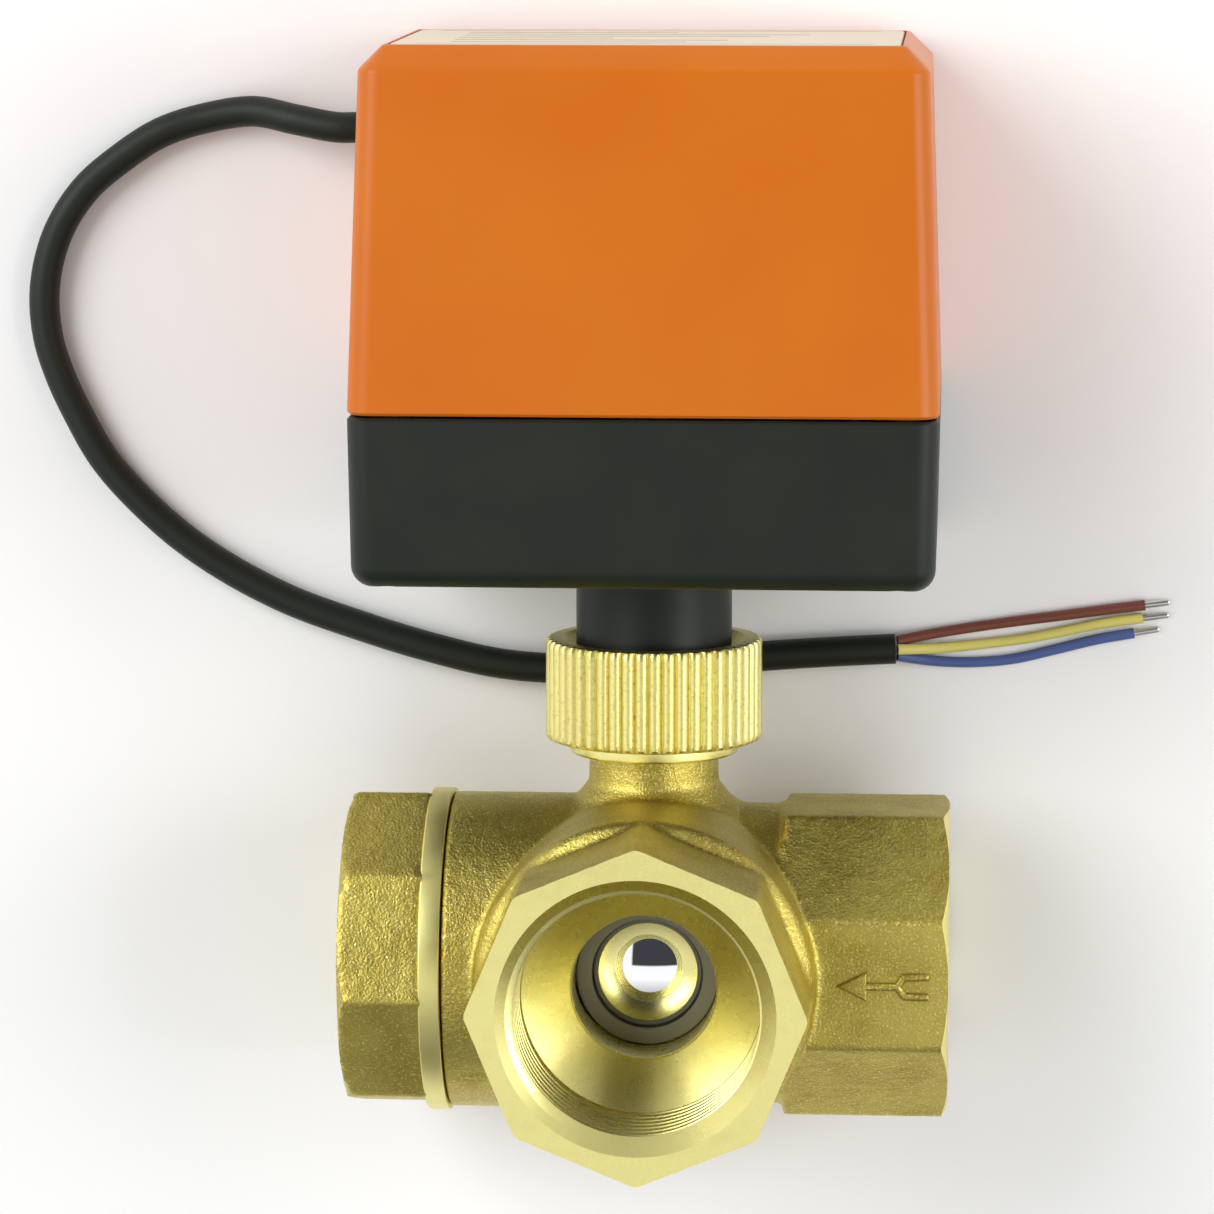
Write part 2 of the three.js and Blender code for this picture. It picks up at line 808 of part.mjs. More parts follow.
function motorBracket() {
  const low = plateLevel[1] + gap;
  const high = low + 1;
  const [x, z] = motor.place;
  const bar = prism(
    roundedRectangle(x - motor.earReach - 3, z - 6, x + motor.earReach + 3, z + 6, 2.9),
    low,
    high,
  );
  return cut(
    join(bar, post(motor.place, 13, low, high, 32)),
    post(motorShaftPlace, 3, low - 1, high + 1),
    ...motorEars().map((place) => post(place, 1.5, low - 1, high + 1)),
  );
}

function motorAssembly() {
  const shaftBottom = 64.8;
  const shaftTop = 79;
  const { place, radius, bottom, top } = motor;
  const can = cut(
    turned(
      [[0, bottom], [radius, bottom], [radius, top - 1.2], [radius - 1.2, top], [0, top]],
      { segments: medium },
    ).translate(place[0], 0, place[1]),
    post(motorShaftPlace, axleRadius + gap, bottom - 1, shaftTop + gap),
    ...motorEars().map((ear) => post(ear, 2.9, bottom - 1, top + 1)),
  );
  // The screws drop in from above, so each is drawn head down and turned over about the plate.
  const earScrew = { head: 2.3, shank: 1.2, bottom: -73.4, neckAt: -71.7, top: -68.8 };
  const screwAt = ([x, z]) => screw([x, -z], earScrew).rotateX(Math.PI);
  return assembly(
    piece("motor", can, steel),
    piece("motor_bracket", motorBracket(), steel),
    piece("motor_shaft", post(motorShaftPlace, axleRadius, shaftBottom, shaftTop), steel),
    piece(
      "motor_pinion",
      gear(pinionTeeth, idlerToMotor + Math.PI, wheelLevel, axleRadius + gap, motorShaftPlace),
      steel,
    ),
    ...motorEars().map((ear, i) => piece(`motor_screw_${i + 1}`, screwAt(ear), steel)),
  );
}

// ---- Electrics ----

function boardPost([x, z]) {
  const foot = plateLevel[1] + gap;
  const shoulder = boardLevel[0] - gap;
  const tip = boardLevel[1] + 1.4;
  return turned(
    [[0, foot], [2.2, foot], [2.2, shoulder], [1.2, shoulder], [1.2, tip], [0, tip]],
    { segments: 12 },
  ).translate(x, 0, z);
}

function circuitBoard() {
  return cut(
    prism(roundedRectangle(-30, -17, 30, 24, 1.5, 2), ...boardLevel),
    ...boardPosts.map((place) => post(place, 1.5, boardLevel[0] - 1, boardLevel[1] + 1, 12)),
  );
}

function terminalBlock(low) {
  const wireHoles = [-9, -4, 1].map((z) => block([-21, low + 2, z - 1.4], [-17, low + 5, z + 1.4]));
  return cut(block([-20, low, -11.5], [-12, low + 8, 3.5]), ...wireHoles);
}

function electrics() {
  const low = boardLevel[1] + gap;
  const capacitor = round(5, -8, 8, { segments: coarse, axis: "x" }).translate(12, low + 5.2, -9);
  return assembly(
    piece("circuit_board", circuitBoard(), greenBoard),
    ...boardPosts.map((place, i) => piece(`board_post_${i + 1}`, boardPost(place), steel)),
    piece("terminal_block", terminalBlock(low), greenBoard),
    piece("relay", block([4, low, 2], [23, low + 14.6, 17]), relayCase),
    piece("capacitor", capacitor, switchCase),
  );
}

// ---- Cable ----

// The free cable leaves the gland and lies on the bench, round the outlet side and behind the nut.
const cableRoute = [
  [-gland.nose - gap, gland.y, gland.z],
  [-42, gland.y, gland.z],
  [-47.5, 105.9, -15.8],
  [-53.3, 106.8, -18.4],
  [-59.5, 105.9, cableZ],
  [-65.5, 104, cableZ],
  [-70.8, 100.7, cableZ],
  [-75.9, 96.3, cableZ],
  [-79.6, 90.4, cableZ],
  [-81.3, 83.5, cableZ],
  [-81, 77.3, cableZ],
  [-79.5, 72.2, cableZ],
  [-77, 66.7, cableZ],
  [-73.4, 60.5, cableZ],
  [-66.3, 53, cableZ],
  [-59.3, 47.7, cableZ],
  [-49.8, 42.6, cableZ],
  [-40.4, 39.2, cableZ],
  [-30.8, 36.3, cableZ],
  [-21.4, 34.2, cableZ],
  [-12, 33.6, cableZ],
  [0, 34.2, cableZ],
  [12.9, 35.5, cableZ],
  [22.1, 36.2, cableZ],
  [30.6, 36.7, cableZ],
];

// The three cores fan out from the end of the jacket.
const brownRoute = [
  [30.9, 37.7, cableZ - 0.3],
  [35, 38.5, coreZ + 0.3],
  [40.4, 39.4, coreZ],
  [47, 40.4, coreZ],
  [52.9, 41.2, coreZ],
  [58.5, 42, coreZ],
  [66.1, 43, coreZ],
];
const yellowRoute = [
  [30.9, 36.7, cableZ + 0.7],
  [35.5, 36.7, coreZ + 0.7],
  [42.3, 37.3, coreZ],
  [48, 38.1, coreZ],
  [52.9, 39.1, coreZ],
  [58, 40.2, coreZ],
  [66, 41.3, coreZ],
];
const blueRoute = [
  [30.9, 35.7, cableZ - 0.3],
  [35, 35, coreZ + 0.1],
  [40.5, 34.8, coreZ],
  [46, 35.3, coreZ],
  [51.5, 36.6, coreZ],
  [57, 38, coreZ],
  [64.8, 39.4, coreZ],
];

function cableGland() {
  const { y, z, nose } = gland;
  const shape = turned(
    [
      [0, 31.4],
      [4.4, 31.4],
      [4.4, 32.6],
      [2.9, 32.6],
      [2.9, 35.8],
      [4.4, 35.8],
      [4.4, 36.8],
      [2.9, nose],
      [0, nose],
    ],
    { segments: coarse, axis: "x" },
  );
  return shape.rotateY(Math.PI).translate(0, y, z);
}

// The jacketed end inside the cover, from the gland to the terminal block.
function innerLead() {
  return tube(
    [
      [-31.1, gland.y, gland.z],
      [-28.5, gland.y, gland.z],
      [-25.8, 104.5, -12],
      [-24.4, 102.6, -7.6],
      [-22.2, 102, -5],
    ],
    1.8,
    12,
  );
}

function cable() {
  return assembly(
    piece("cable_gland", cableGland(), rubber),
    piece("inner_lead", innerLead(), rubber),
    piece("supply_cable", tube(cableRoute, cableRadius, 30), rubber),
    piece("core_brown", tube(brownRoute, coreRadius, 10), brownPvc),
    piece("core_yellow", tube(yellowRoute, coreRadius, 10), yellowPvc),
    piece("core_blue", tube(blueRoute, coreRadius, 10), bluePvc),
  );
}

// ---- The whole ----

const whole = assembly(
  valve(),
  nutAssembly(),
  housingAssembly(),
  gearTrain(),
  motorAssembly(),
  electrics(),
  cable(),
);
whole.position.set(
  (outletEnd - inletEnd) / 2,
  (hubRadius - housing.top) / 2,
  -benchZ,
);

export default whole;
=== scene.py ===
# Motorised three-way ball valve: the looks of a sand-cast brass T-port ball valve with a geared electric
# actuator on its bonnet. Pieces are drawn in millimetres about the centre of the ball, with the packed
# model's own axes (+X towards the inlet, +Y along the stem, +Z along the branch port), and each is then
# moved into the frame.

import json
import math

import bmesh
import bpy
import numpy as np
from mathutils import Matrix, Vector, noise


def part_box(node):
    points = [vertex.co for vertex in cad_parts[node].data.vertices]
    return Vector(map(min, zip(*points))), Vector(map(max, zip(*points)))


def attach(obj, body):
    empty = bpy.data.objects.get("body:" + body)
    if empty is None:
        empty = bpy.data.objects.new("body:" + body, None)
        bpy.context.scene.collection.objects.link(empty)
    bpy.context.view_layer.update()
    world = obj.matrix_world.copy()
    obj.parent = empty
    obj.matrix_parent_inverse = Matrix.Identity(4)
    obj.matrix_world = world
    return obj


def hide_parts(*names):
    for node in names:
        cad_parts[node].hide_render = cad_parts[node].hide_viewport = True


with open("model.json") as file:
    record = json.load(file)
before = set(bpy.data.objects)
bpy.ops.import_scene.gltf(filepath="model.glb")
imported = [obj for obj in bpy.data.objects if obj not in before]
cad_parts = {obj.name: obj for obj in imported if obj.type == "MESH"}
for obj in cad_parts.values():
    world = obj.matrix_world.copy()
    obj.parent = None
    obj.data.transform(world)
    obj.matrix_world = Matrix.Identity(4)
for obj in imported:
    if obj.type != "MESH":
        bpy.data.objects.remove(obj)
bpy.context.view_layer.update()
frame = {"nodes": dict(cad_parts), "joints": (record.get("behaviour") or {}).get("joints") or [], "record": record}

# ---- The frame ----

MM = 0.001


def ball_centre():
    """On the axis that the ball turns about, at the height of the inlet's seat."""
    turn = next(joint["pos_m"] for joint in frame["joints"] if joint["name"] == "ball_turn")
    low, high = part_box("inlet_seat")
    return Vector((turn[0], (low[1] + high[1]) / 2, turn[2]))


BALL = ball_centre()
TO_FRAME = Matrix.Translation(BALL) @ Matrix.Scale(MM, 4)


def extent(node):
    """A CAD node's lowest and highest corners, in millimetres about the ball."""
    low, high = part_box(node)
    return (Vector(low) - BALL) / MM, (Vector(high) - BALL) / MM


def new_object(name, data):
    piece = bpy.data.objects.new(name, data)
    bpy.context.scene.collection.objects.link(piece)
    return piece


BODY_LOW, BODY_HIGH = extent("valve_body")
NUT_LOW, NUT_HIGH = extent("union_nut")
NECK_LOW, NECK_HIGH = extent("mounting_neck")
COVER_LOW, COVER_HIGH = extent("cover")
BASE_LOW, BASE_HIGH = extent("base_housing")
LABEL_LOW, LABEL_HIGH = extent("label_plate")
GLAND_LOW, GLAND_HIGH = extent("cable_gland")

# ---- Driving dimensions, in millimetres ----

CLEARANCE = 0.3  # between neighbouring pieces
BENCH = BODY_LOW.z

CAST_GRAIN = 1.5
CAST_RELIEF = 0.07

PORT_FLATS = 39.0
PORT_CHAMFER = 2.2  # how far back the corners of a port's octagon are taken off
PORT_FACE_RADIUS = 17.25
PORT_THREAD_RADIUS = 15.15
PORT_THREAD_PITCH = 1.814
PORT_THREAD_DEPTH = 1.1
PORT_THREAD_END = 26.0
PORT_FUNNEL_END = 21.7
PORT_THROAT_RADIUS = 9.1
PORT_SEGMENTS = 144
INLET_END = BODY_HIGH.x
BRANCH_END = BODY_HIGH.z
OUTLET_END = -extent("end_cap")[0].x
HUB_RADIUS = 21.4
HUB_FRONT = 24.0
BARREL_RADIUS = 20.3
BARREL_END = 25.8
INLET_NECK_RADIUS = 19.3
INLET_OCTAGON_START = 17.0
CAVITY_RADIUS = 15.6
CAP_THREAD_RADIUS = 17.4
CAP_THREAD_END = 17.5
CAP_SHOULDER = 18.6
CAP_RING_RADIUS = 20.8
CAP_RING_END = 28.6
CAP_SEAM = 0.1
CAP_TWIST = math.radians(15)

BONNET_NECK_RADIUS = 8.3
BONNET_HEAD_RADIUS = 10.8
BONNET_HEAD_START = 26.3
BONNET_HEAD_END = BODY_HIGH.y
BONNET_THREAD_RELIEF = 0.9
STEM_BORE_RADIUS = 4.4
WASHER_POCKET_RADIUS = 5.9
WASHER_POCKET_END = 18.1

BALL_RADIUS = extent("ball")[1].z
BALL_BORE = 7.0
BLADE_SLOT = 12.1  # the height of the slot's bottom
BLADE_SLOT_HALF = 1.7
SEAT_INNER = 7.05
SEAT_OUTER = 8.8
SEAT_FACE = 14.4

NUT_RADIUS = NUT_HIGH.x
NUT_BOTTOM = NUT_LOW.y
NUT_TOP = NUT_HIGH.y
NUT_RIBS = 48
NUT_GROOVE = 0.6
NUT_THREAD_RADIUS = 11.1
NUT_LIP = 37.8
NUT_THREAD_PITCH = 1.5
NUT_THREAD_LAND = 0.1

HOUSING_HALF = BASE_HIGH.x
HOUSING_BACK = BASE_LOW.z
HOUSING_FRONT = BASE_HIGH.z
HOUSING_BOTTOM = BASE_LOW.y
HOUSING_SEAM = BASE_HIGH.y + CLEARANCE / 2
HOUSING_TOP = COVER_HIGH.y
HOUSING_WALL = 2.0
HOUSING_CORNER = 3.0
COVER_CHAMFER = 3.0
COVER_DRAFT = 0.035  # how much a side leans in, for each millimetre of height
BASE_DRAFT = 0.018
BASE_FLOOR = HOUSING_BOTTOM + 2.3
NECK_RADIUS = 9.95
NECK_BORE = 7.6
NECK_COLLAR_RADIUS = 10.8  # the collar that the nut holds
NECK_COLLAR_TOP = 36.2
NECK_FLANGE_RADIUS = NECK_HIGH.x
SCREW_PLACES = [(-31.4, 24.0), (31.4, 24.0), (31.4, -16.6), (-31.4, -16.6)]
SCREW_RADIUS = 1.5
SCREW_HEAD_RADIUS = 2.6
SCREW_HOLE_RADIUS = 1.8

CABLE_RADIUS = 2.0
CORE_RADIUS = 0.7
STRANDS_RADIUS = 0.45
GLAND_Y = (GLAND_LOW.y + GLAND_HIGH.y) / 2
GLAND_Z = (GLAND_LOW.z + GLAND_HIGH.z) / 2
GLAND_NOSE = -GLAND_LOW.x
GLAND_RADIUS = 2.9
GLAND_FLANGE_RADIUS = 4.4
CABLE_Z = BENCH + CABLE_RADIUS + 0.05
CORE_Z = BENCH + CORE_RADIUS + 0.05

# ---- Camera ----

CAMERA_PLACE = (38.89, 147.92, 683.69)
CAMERA_YAW = math.radians(3.76)
CAMERA_PITCH = math.radians(8.56)
CAMERA_LENS = 160.61


def add_camera():
    """A long lens above the valve, a little to its right and towards the actuator."""
    level = math.cos(CAMERA_PITCH)
    back = Vector((math.sin(CAMERA_YAW) * level, math.sin(CAMERA_PITCH), math.cos(CAMERA_YAW) * level))
    right = Vector((math.cos(CAMERA_YAW), 0, -math.sin(CAMERA_YAW)))
    up = back.cross(right)
    camera = new_object("camera", bpy.data.cameras.new("camera"))
    camera.data.lens = CAMERA_LENS
    camera.data.clip_start = 0.05
    turn = Matrix((right, up, back)).transposed().to_4x4()
    camera.matrix_world = Matrix.Translation(TO_FRAME @ Vector(CAMERA_PLACE)) @ turn
    bpy.context.scene.camera = camera


add_camera()

# ---- Materials ----

WAVE_SCALE = 0.314  # a wave pattern of this scale has waves one unit apart


def map_range(tree, value, low, high, to_low=0.0, to_high=1.0):
    """value, spread so that low becomes to_low and high becomes to_high."""
    node = tree.nodes.new("ShaderNodeMapRange")
    for socket, number in zip(("From Min", "From Max", "To Min", "To Max"), (low, high, to_low, to_high)):
        node.inputs[socket].default_value = number
    tree.links.new(value, node.inputs["Value"])
    return node.outputs["Result"]


class Finish:
    """A material whose colour, roughness and relief vary by procedural patterns."""

    def __init__(self, name, colour, roughness, metallic=0.0, **sockets):
        self.material = bpy.data.materials.new(name)
        self.material.use_nodes = True
        self.tree = self.material.node_tree
        self.nodes = self.tree.nodes
        self.links = self.tree.links
        self.shader = self.nodes["Principled BSDF"]
        self.shader.inputs["Base Color"].default_value = (*colour, 1)
        self.shader.inputs["Roughness"].default_value = roughness
        self.shader.inputs["Metallic"].default_value = metallic
        for socket, value in sockets.items():
            self.shader.inputs[socket.replace("_", " ")].default_value = value
        self.colour = None
        self.base = colour
        self.relief = None

    def place(self):
        """Positions in metres about the ball."""
        where = self.nodes.new("ShaderNodeTexCoord")
        centred = self.nodes.new("ShaderNodeVectorMath")
        centred.operation = "SUBTRACT"
        centred.inputs[1].default_value = BALL
        self.links.new(where.outputs["Object"], centred.inputs[0])
        return centred.outputs[0]

    def noise(self, size, detail):
        """Noise from 0 to 1 whose blotches are about size millimetres across."""
        pattern = self.nodes.new("ShaderNodeTexNoise")
        pattern.inputs["Scale"].default_value = 1 / (size * MM)
        pattern.inputs["Detail"].default_value = detail
        self.links.new(self.place(), pattern.inputs["Vector"])
        return pattern.outputs["Fac"]

    def rings(self, spacing, axis, waver):
        """Concentric tool marks about an axis through the ball, spacing millimetres apart."""
        pattern = self.nodes.new("ShaderNodeTexWave")
        pattern.wave_type = "RINGS"
        pattern.rings_direction = axis
        pattern.inputs["Scale"].default_value = WAVE_SCALE / (spacing * MM)
        pattern.inputs["Distortion"].default_value = waver
        pattern.inputs["Detail"].default_value = 1.0
        self.links.new(self.place(), pattern.inputs["Vector"])
        return pattern.outputs["Fac"]

    def ramp(self, value, low, high):
        """value, spread so that low becomes 0 and high becomes 1."""
        return map_range(self.tree, value, low, high)

    def tint(self, amount, colour):
        """Moves the base colour towards another where amount is 1."""
        mix = self.nodes.new("ShaderNodeMix")
        mix.data_type = "RGBA"
        mix.inputs["A"].default_value = (*self.base, 1)
        if self.colour:
            self.links.new(self.colour, mix.inputs["A"])
        mix.inputs["B"].default_value = (*colour, 1)
        self.links.new(amount, mix.inputs["Factor"])
        self.colour = mix.outputs["Result"]
        self.links.new(self.colour, self.shader.inputs["Base Color"])

    def polish(self, amount, low, high):
        """Roughness from low where amount is 0 to high where it is 1."""
        roughness = map_range(self.tree, amount, 0.0, 1.0, low, high)
        self.links.new(roughness, self.shader.inputs["Roughness"])

    def bump(self, height, depth):
        """Relief of about depth millimetres."""
        relief = self.nodes.new("ShaderNodeBump")
        relief.inputs["Distance"].default_value = depth * MM
        self.links.new(height, relief.inputs["Height"])
        if self.relief:
            self.links.new(self.relief, relief.inputs["Normal"])
        self.relief = relief.outputs["Normal"]
        self.links.new(self.relief, self.shader.inputs["Normal"])


def cast_brass():
    """Sand-cast brass: fine grains with bright tops, and duller, browner patches."""
    brass = Finish("cast_brass", (0.57, 0.475, 0.105), 0.45, 1.0)
    brass.tint(brass.ramp(brass.noise(7.0, 3.0), 0.4, 0.7), (0.45, 0.355, 0.07))
    brass.tint(brass.ramp(brass.noise(0.3, 1.0), 0.56, 0.76), (0.80, 0.73, 0.32))
    brass.polish(brass.noise(0.9, 2.0), 0.34, 0.54)
    brass.bump(brass.noise(0.32, 2.0), 0.11)
    brass.bump(brass.noise(1.3, 2.0), 0.07)
    return brass.material


def machined_brass(name, axis, roughness=0.27):
    """Brass with fine tool marks about one axis."""
    brass = Finish(name, (0.86, 0.79, 0.31), roughness, 1.0)
    brass.tint(brass.ramp(brass.noise(4.0, 3.0), 0.5, 0.8), (0.83, 0.75, 0.285))
    brass.polish(brass.noise(2.0, 3.0), 0.9 * roughness, 1.15 * roughness)
    brass.bump(brass.rings(0.16, axis, 0.3), 0.0025)
    brass.bump(brass.noise(0.8, 2.0), 0.003)
    return brass.material


def nut_brass():
    """Knurled brass, tumbled so that it is finely pitted."""
    brass = Finish("nut_brass", (0.80, 0.72, 0.27), 0.32, 1.0)
    brass.tint(brass.ramp(brass.noise(0.5, 2.0), 0.55, 0.75), (0.60, 0.51, 0.15))
    brass.polish(brass.noise(0.8, 2.0), 0.26, 0.42)
    brass.bump(brass.noise(0.32, 2.0), 0.035)
    return brass.material


def chrome():
    """Polished chrome with a very slight ripple."""
    metal = Finish("chrome", (0.88, 0.89, 0.90), 0.03, 1.0)
    metal.polish(metal.noise(3.0, 3.0), 0.02, 0.05)
    metal.bump(metal.noise(0.9, 1.0), 0.0004)
    return metal.material


def darker(colour, share):
    """The colour with this share of its brightness."""
    return tuple(share * part for part in colour)


def plain_metal(name, colour, roughness):
    """Bare metal with faint darker blotches and a fine grain."""
    metal = Finish(name, colour, roughness, 1.0)
    metal.tint(metal.ramp(metal.noise(3.0, 3.0), 0.45, 0.75), darker(colour, 0.8))
    metal.polish(metal.noise(1.0, 3.0), 0.8 * roughness, 1.25 * roughness)
    metal.bump(metal.noise(0.2, 1.0), 0.004)
    return metal.material


def moulded(name, colour, roughness, grain=0.35, depth=0.008, worn=None, **sockets):
    """A moulded plastic or rubber with a fine grain and faint blotches of gloss."""
    plastic = Finish(name, colour, roughness, **sockets)
    plastic.tint(plastic.ramp(plastic.noise(9.0, 2.0), 0.4, 0.75), worn or darker(colour, 0.9))
    plastic.polish(plastic.noise(5.0, 3.0), 0.88 * roughness, 1.12 * roughness)
    plastic.bump(plastic.noise(grain, 2.0), depth)
    return plastic.material


def orange_plastic():
    """Orange ABS, almost smooth, with the slow waviness that mouldings have."""
    plastic = Finish("orange_plastic", (0.62, 0.158, 0.006), 0.36, Specular_IOR_Level=0.3)
    plastic.tint(plastic.ramp(plastic.noise(30.0, 2.0), 0.35, 0.7), (0.59, 0.135, 0.004))
    plastic.polish(plastic.noise(7.0, 3.0), 0.3, 0.38)
    plastic.bump(plastic.noise(0.5, 2.0), 0.006)
    plastic.bump(plastic.noise(14.0, 1.0), 0.05)
    return plastic.material


def black_plastic():
    """Black nylon, a little paler where it is worn."""
    worn = (0.012, 0.016, 0.010)
    return moulded("black_plastic", (0.009, 0.013, 0.008), 0.42, 0.4, 0.012, worn, Specular_IOR_Level=0.3)


def label_foil():
    """Pale satin foil, a little uneven."""
    foil = Finish("label_foil", (0.74, 0.64, 0.47), 0.4, Specular_IOR_Level=0.35)
    foil.tint(foil.ramp(foil.noise(2.0, 3.0), 0.5, 0.8), (0.68, 0.58, 0.42))
    foil.bump(foil.noise(0.6, 2.0), 0.004)
    return foil.material


LOOKS = {
    "cast_brass": cast_brass(),
    "machined_z": machined_brass("machined_branch", "Z"),
    "machined_x": machined_brass("machined_run", "X", 0.4),
    "machined_y": machined_brass("machined_stem", "Y"),
    "nut_brass": nut_brass(),
    "turned_brass": machined_brass("turned_brass", "Y"),
    "chrome": chrome(),
    "steel": plain_metal("steel", (0.52, 0.52, 0.52), 0.32),
    "bronze": plain_metal("bronze", (0.48, 0.27, 0.11), 0.42),
    "tinned_copper": plain_metal("tinned_copper", (0.74, 0.73, 0.70), 0.3),
    "ptfe": moulded("ptfe", (0.25, 0.245, 0.19), 0.45, 0.3, 0.006),
    "rubber": moulded("rubber", (0.012, 0.016, 0.011), 0.5, 0.5, 0.012, Specular_IOR_Level=0.3),
    "orange_plastic": orange_plastic(),
    "black_plastic": black_plastic(),
    "white_acetal": moulded("white_acetal", (0.78, 0.75, 0.66), 0.4),
    "label_foil": label_foil(),
    "label_ink": moulded("label_ink", (0.42, 0.34, 0.25), 0.5),
    "green_board": moulded("green_board", (0.012, 0.11, 0.045), 0.4),
    "dark_plastic": moulded("dark_plastic", (0.02, 0.02, 0.024), 0.45),
    "blue_plastic": moulded("blue_plastic", (0.03, 0.11, 0.32), 0.4),
    "brown_pvc": moulded("brown_pvc", (0.19, 0.055, 0.035), 0.42),
    "yellow_pvc": moulded("yellow_pvc", (0.74, 0.66, 0.17), 0.42),
    "blue_pvc": moulded("blue_pvc", (0.075, 0.12, 0.33), 0.42),
}

# ---- Mesh tools ----

SHARP_ANGLE = math.radians(32)


def solid(name, points, faces, look=None):
    """A closed mesh, with points that coincide made one and its faces turned out."""
    mesh = bpy.data.meshes.new(name)
    mesh.from_pydata([tuple(point) for point in points], [], faces)
    work = bmesh.new()
    work.from_mesh(mesh)
    bmesh.ops.remove_doubles(work, verts=work.verts, dist=1e-4)
    bmesh.ops.dissolve_degenerate(work, edges=work.edges, dist=1e-5)
    bmesh.ops.recalc_face_normals(work, faces=work.faces)
    work.to_mesh(mesh)
    work.free()
    if look:
        mesh.materials.append(LOOKS[look])
    return new_object(name, mesh)


def quads(rows, columns, close_rows=False):
    """Faces of a grid of rows of points, each row closed on itself."""
    steps = rows if close_rows else rows - 1
    return [
        (
            row * columns + column,
            row * columns + (column + 1) % columns,
            (row + 1) % rows * columns + (column + 1) % columns,
            (row + 1) % rows * columns + column,
        )
        for row in range(steps)
        for column in range(columns)
    ]


def loft(name, rings, look=None, closed=False):
    """A skin over rings of points. Unless it closes on itself, flat ends close it."""
    rings = np.asarray(rings, dtype=float)
    rows, columns = rings.shape[:2]
    faces = quads(rows, columns, closed)
    if not closed:
        faces.append(tuple(range(columns)))
        faces.append(tuple(range((rows - 1) * columns, rows * columns)))
    return solid(name, rings.reshape(-1, 3), faces, look)


def circle(segments):
    return np.arange(segments) / segments * 2 * math.pi


def along_axis(radius, distance, angles, axis):
    """Points at a radius and angles about an axis through the ball, and a distance along it."""
    across = radius * np.cos(angles)
    up = radius * np.sin(angles)
    along = np.broadcast_to(distance, np.shape(across))
    sign = -1 if axis[0] == "-" else 1
    columns = {
        "x": (sign * along, across, sign * up),
        "y": (up, sign * along, sign * across),
        "z": (sign * across, up, sign * along),
    }[axis[-1]]
    return np.stack(columns, axis=-1)


def eased(points, steps=5):
    """An outline in which a corner given as (u, v, radius) becomes an arc. It doesn't close on itself."""
    outline = []
    for index, point in enumerate(points):
        if len(point) == 2 or point[2] == 0 or index in (0, len(points) - 1):
            outline.append(tuple(point[:2]))
            continue
        corner = Vector(point[:2])
        before = (Vector(points[index - 1][:2]) - corner).normalized()
        after = (Vector(points[index + 1][:2]) - corner).normalized()
        half = before.angle(after) / 2
        reach = point[2] / math.tan(half)
        start = corner + before * reach
        centre = corner + (before + after).normalized() * (point[2] / math.sin(half))
        spin = (start - centre).angle_signed(corner + after * reach - centre)
        for step in range(steps + 1):
            turned_by = Matrix.Rotation(-spin * step / steps, 2)
            outline.append(tuple(centre + turned_by @ (start - centre)))
    return outline


def sphere_arc(radius, start, end, points):
    """Part of a profile on a sphere about the ball's centre, between two angles in degrees."""
    angles = np.radians(np.linspace(start, end, points))
    return [(round(radius * math.cos(angle), 9), radius * math.sin(angle)) for angle in angles]


def turned(name, profile, look=None, axis="y", segments=128):
    """A profile of (radius, distance[, corner radius]) turned about an axis through the ball. It starts
    and ends on the axis, or else it closes on itself."""
    outline = eased(profile)
    angles = circle(segments)
    rings = [along_axis(radius, distance, angles, axis) for radius, distance in outline]
    return loft(name, rings, look, closed=profile[0][0] > 0)


def rod(name, radius, start, end, look=None, axis="y", segments=96, ease=0.0):
    """A round bar, its two edges eased."""
    profile = [(0, start), (radius, start, ease), (radius, end, ease), (0, end)]
    return turned(name, profile, look, axis, segments)


def raised_bar(name, start, end, radius, look):
    """A round-ended bar between two points."""
    run = Vector(end) - Vector(start)
    bar = rod(name, radius, -radius, run.length + radius, look, "x", 24, 0.95 * radius)
    turn = Vector((1, 0, 0)).rotation_difference(run).to_matrix().to_4x4()
    bar.data.transform(Matrix.Translation(start) @ turn)
    return bar


def octagon(name, start, end, axis, turn=0.0, ends=0.0):
    """An octagonal bar. If ends is more than 0, a cone takes the corners off over that length."""
    segments = 8 * 24
    half = PORT_FLATS / 2
    angles = circle(segments)
    off_flat = (angles - turn + math.pi / 8) % (math.pi / 4) - math.pi / 8
    reach = half / np.cos(off_flat)
    rings = [along_axis(reach, distance, angles, axis) for distance in np.linspace(start, end, 12)]
    if ends:
        for depth in np.linspace(ends, 0, 8):
            cone = half - 0.9 + depth * 1.3
            rings.append(along_axis(np.minimum(reach, cone), end - depth, angles, axis))
    return loft(name, rings)


def block(name, low, high, look):
    """A plain box between two corners."""
    corners = [(x, y, z) for x in (low[0], high[0]) for y in (low[1], high[1]) for z in (low[2], high[2])]
    faces = [(0, 1, 3, 2), (4, 6, 7, 5), (0, 4, 5, 1), (2, 3, 7, 6), (0, 2, 6, 4), (1, 5, 7, 3)]
    return solid(name, corners, faces, look)


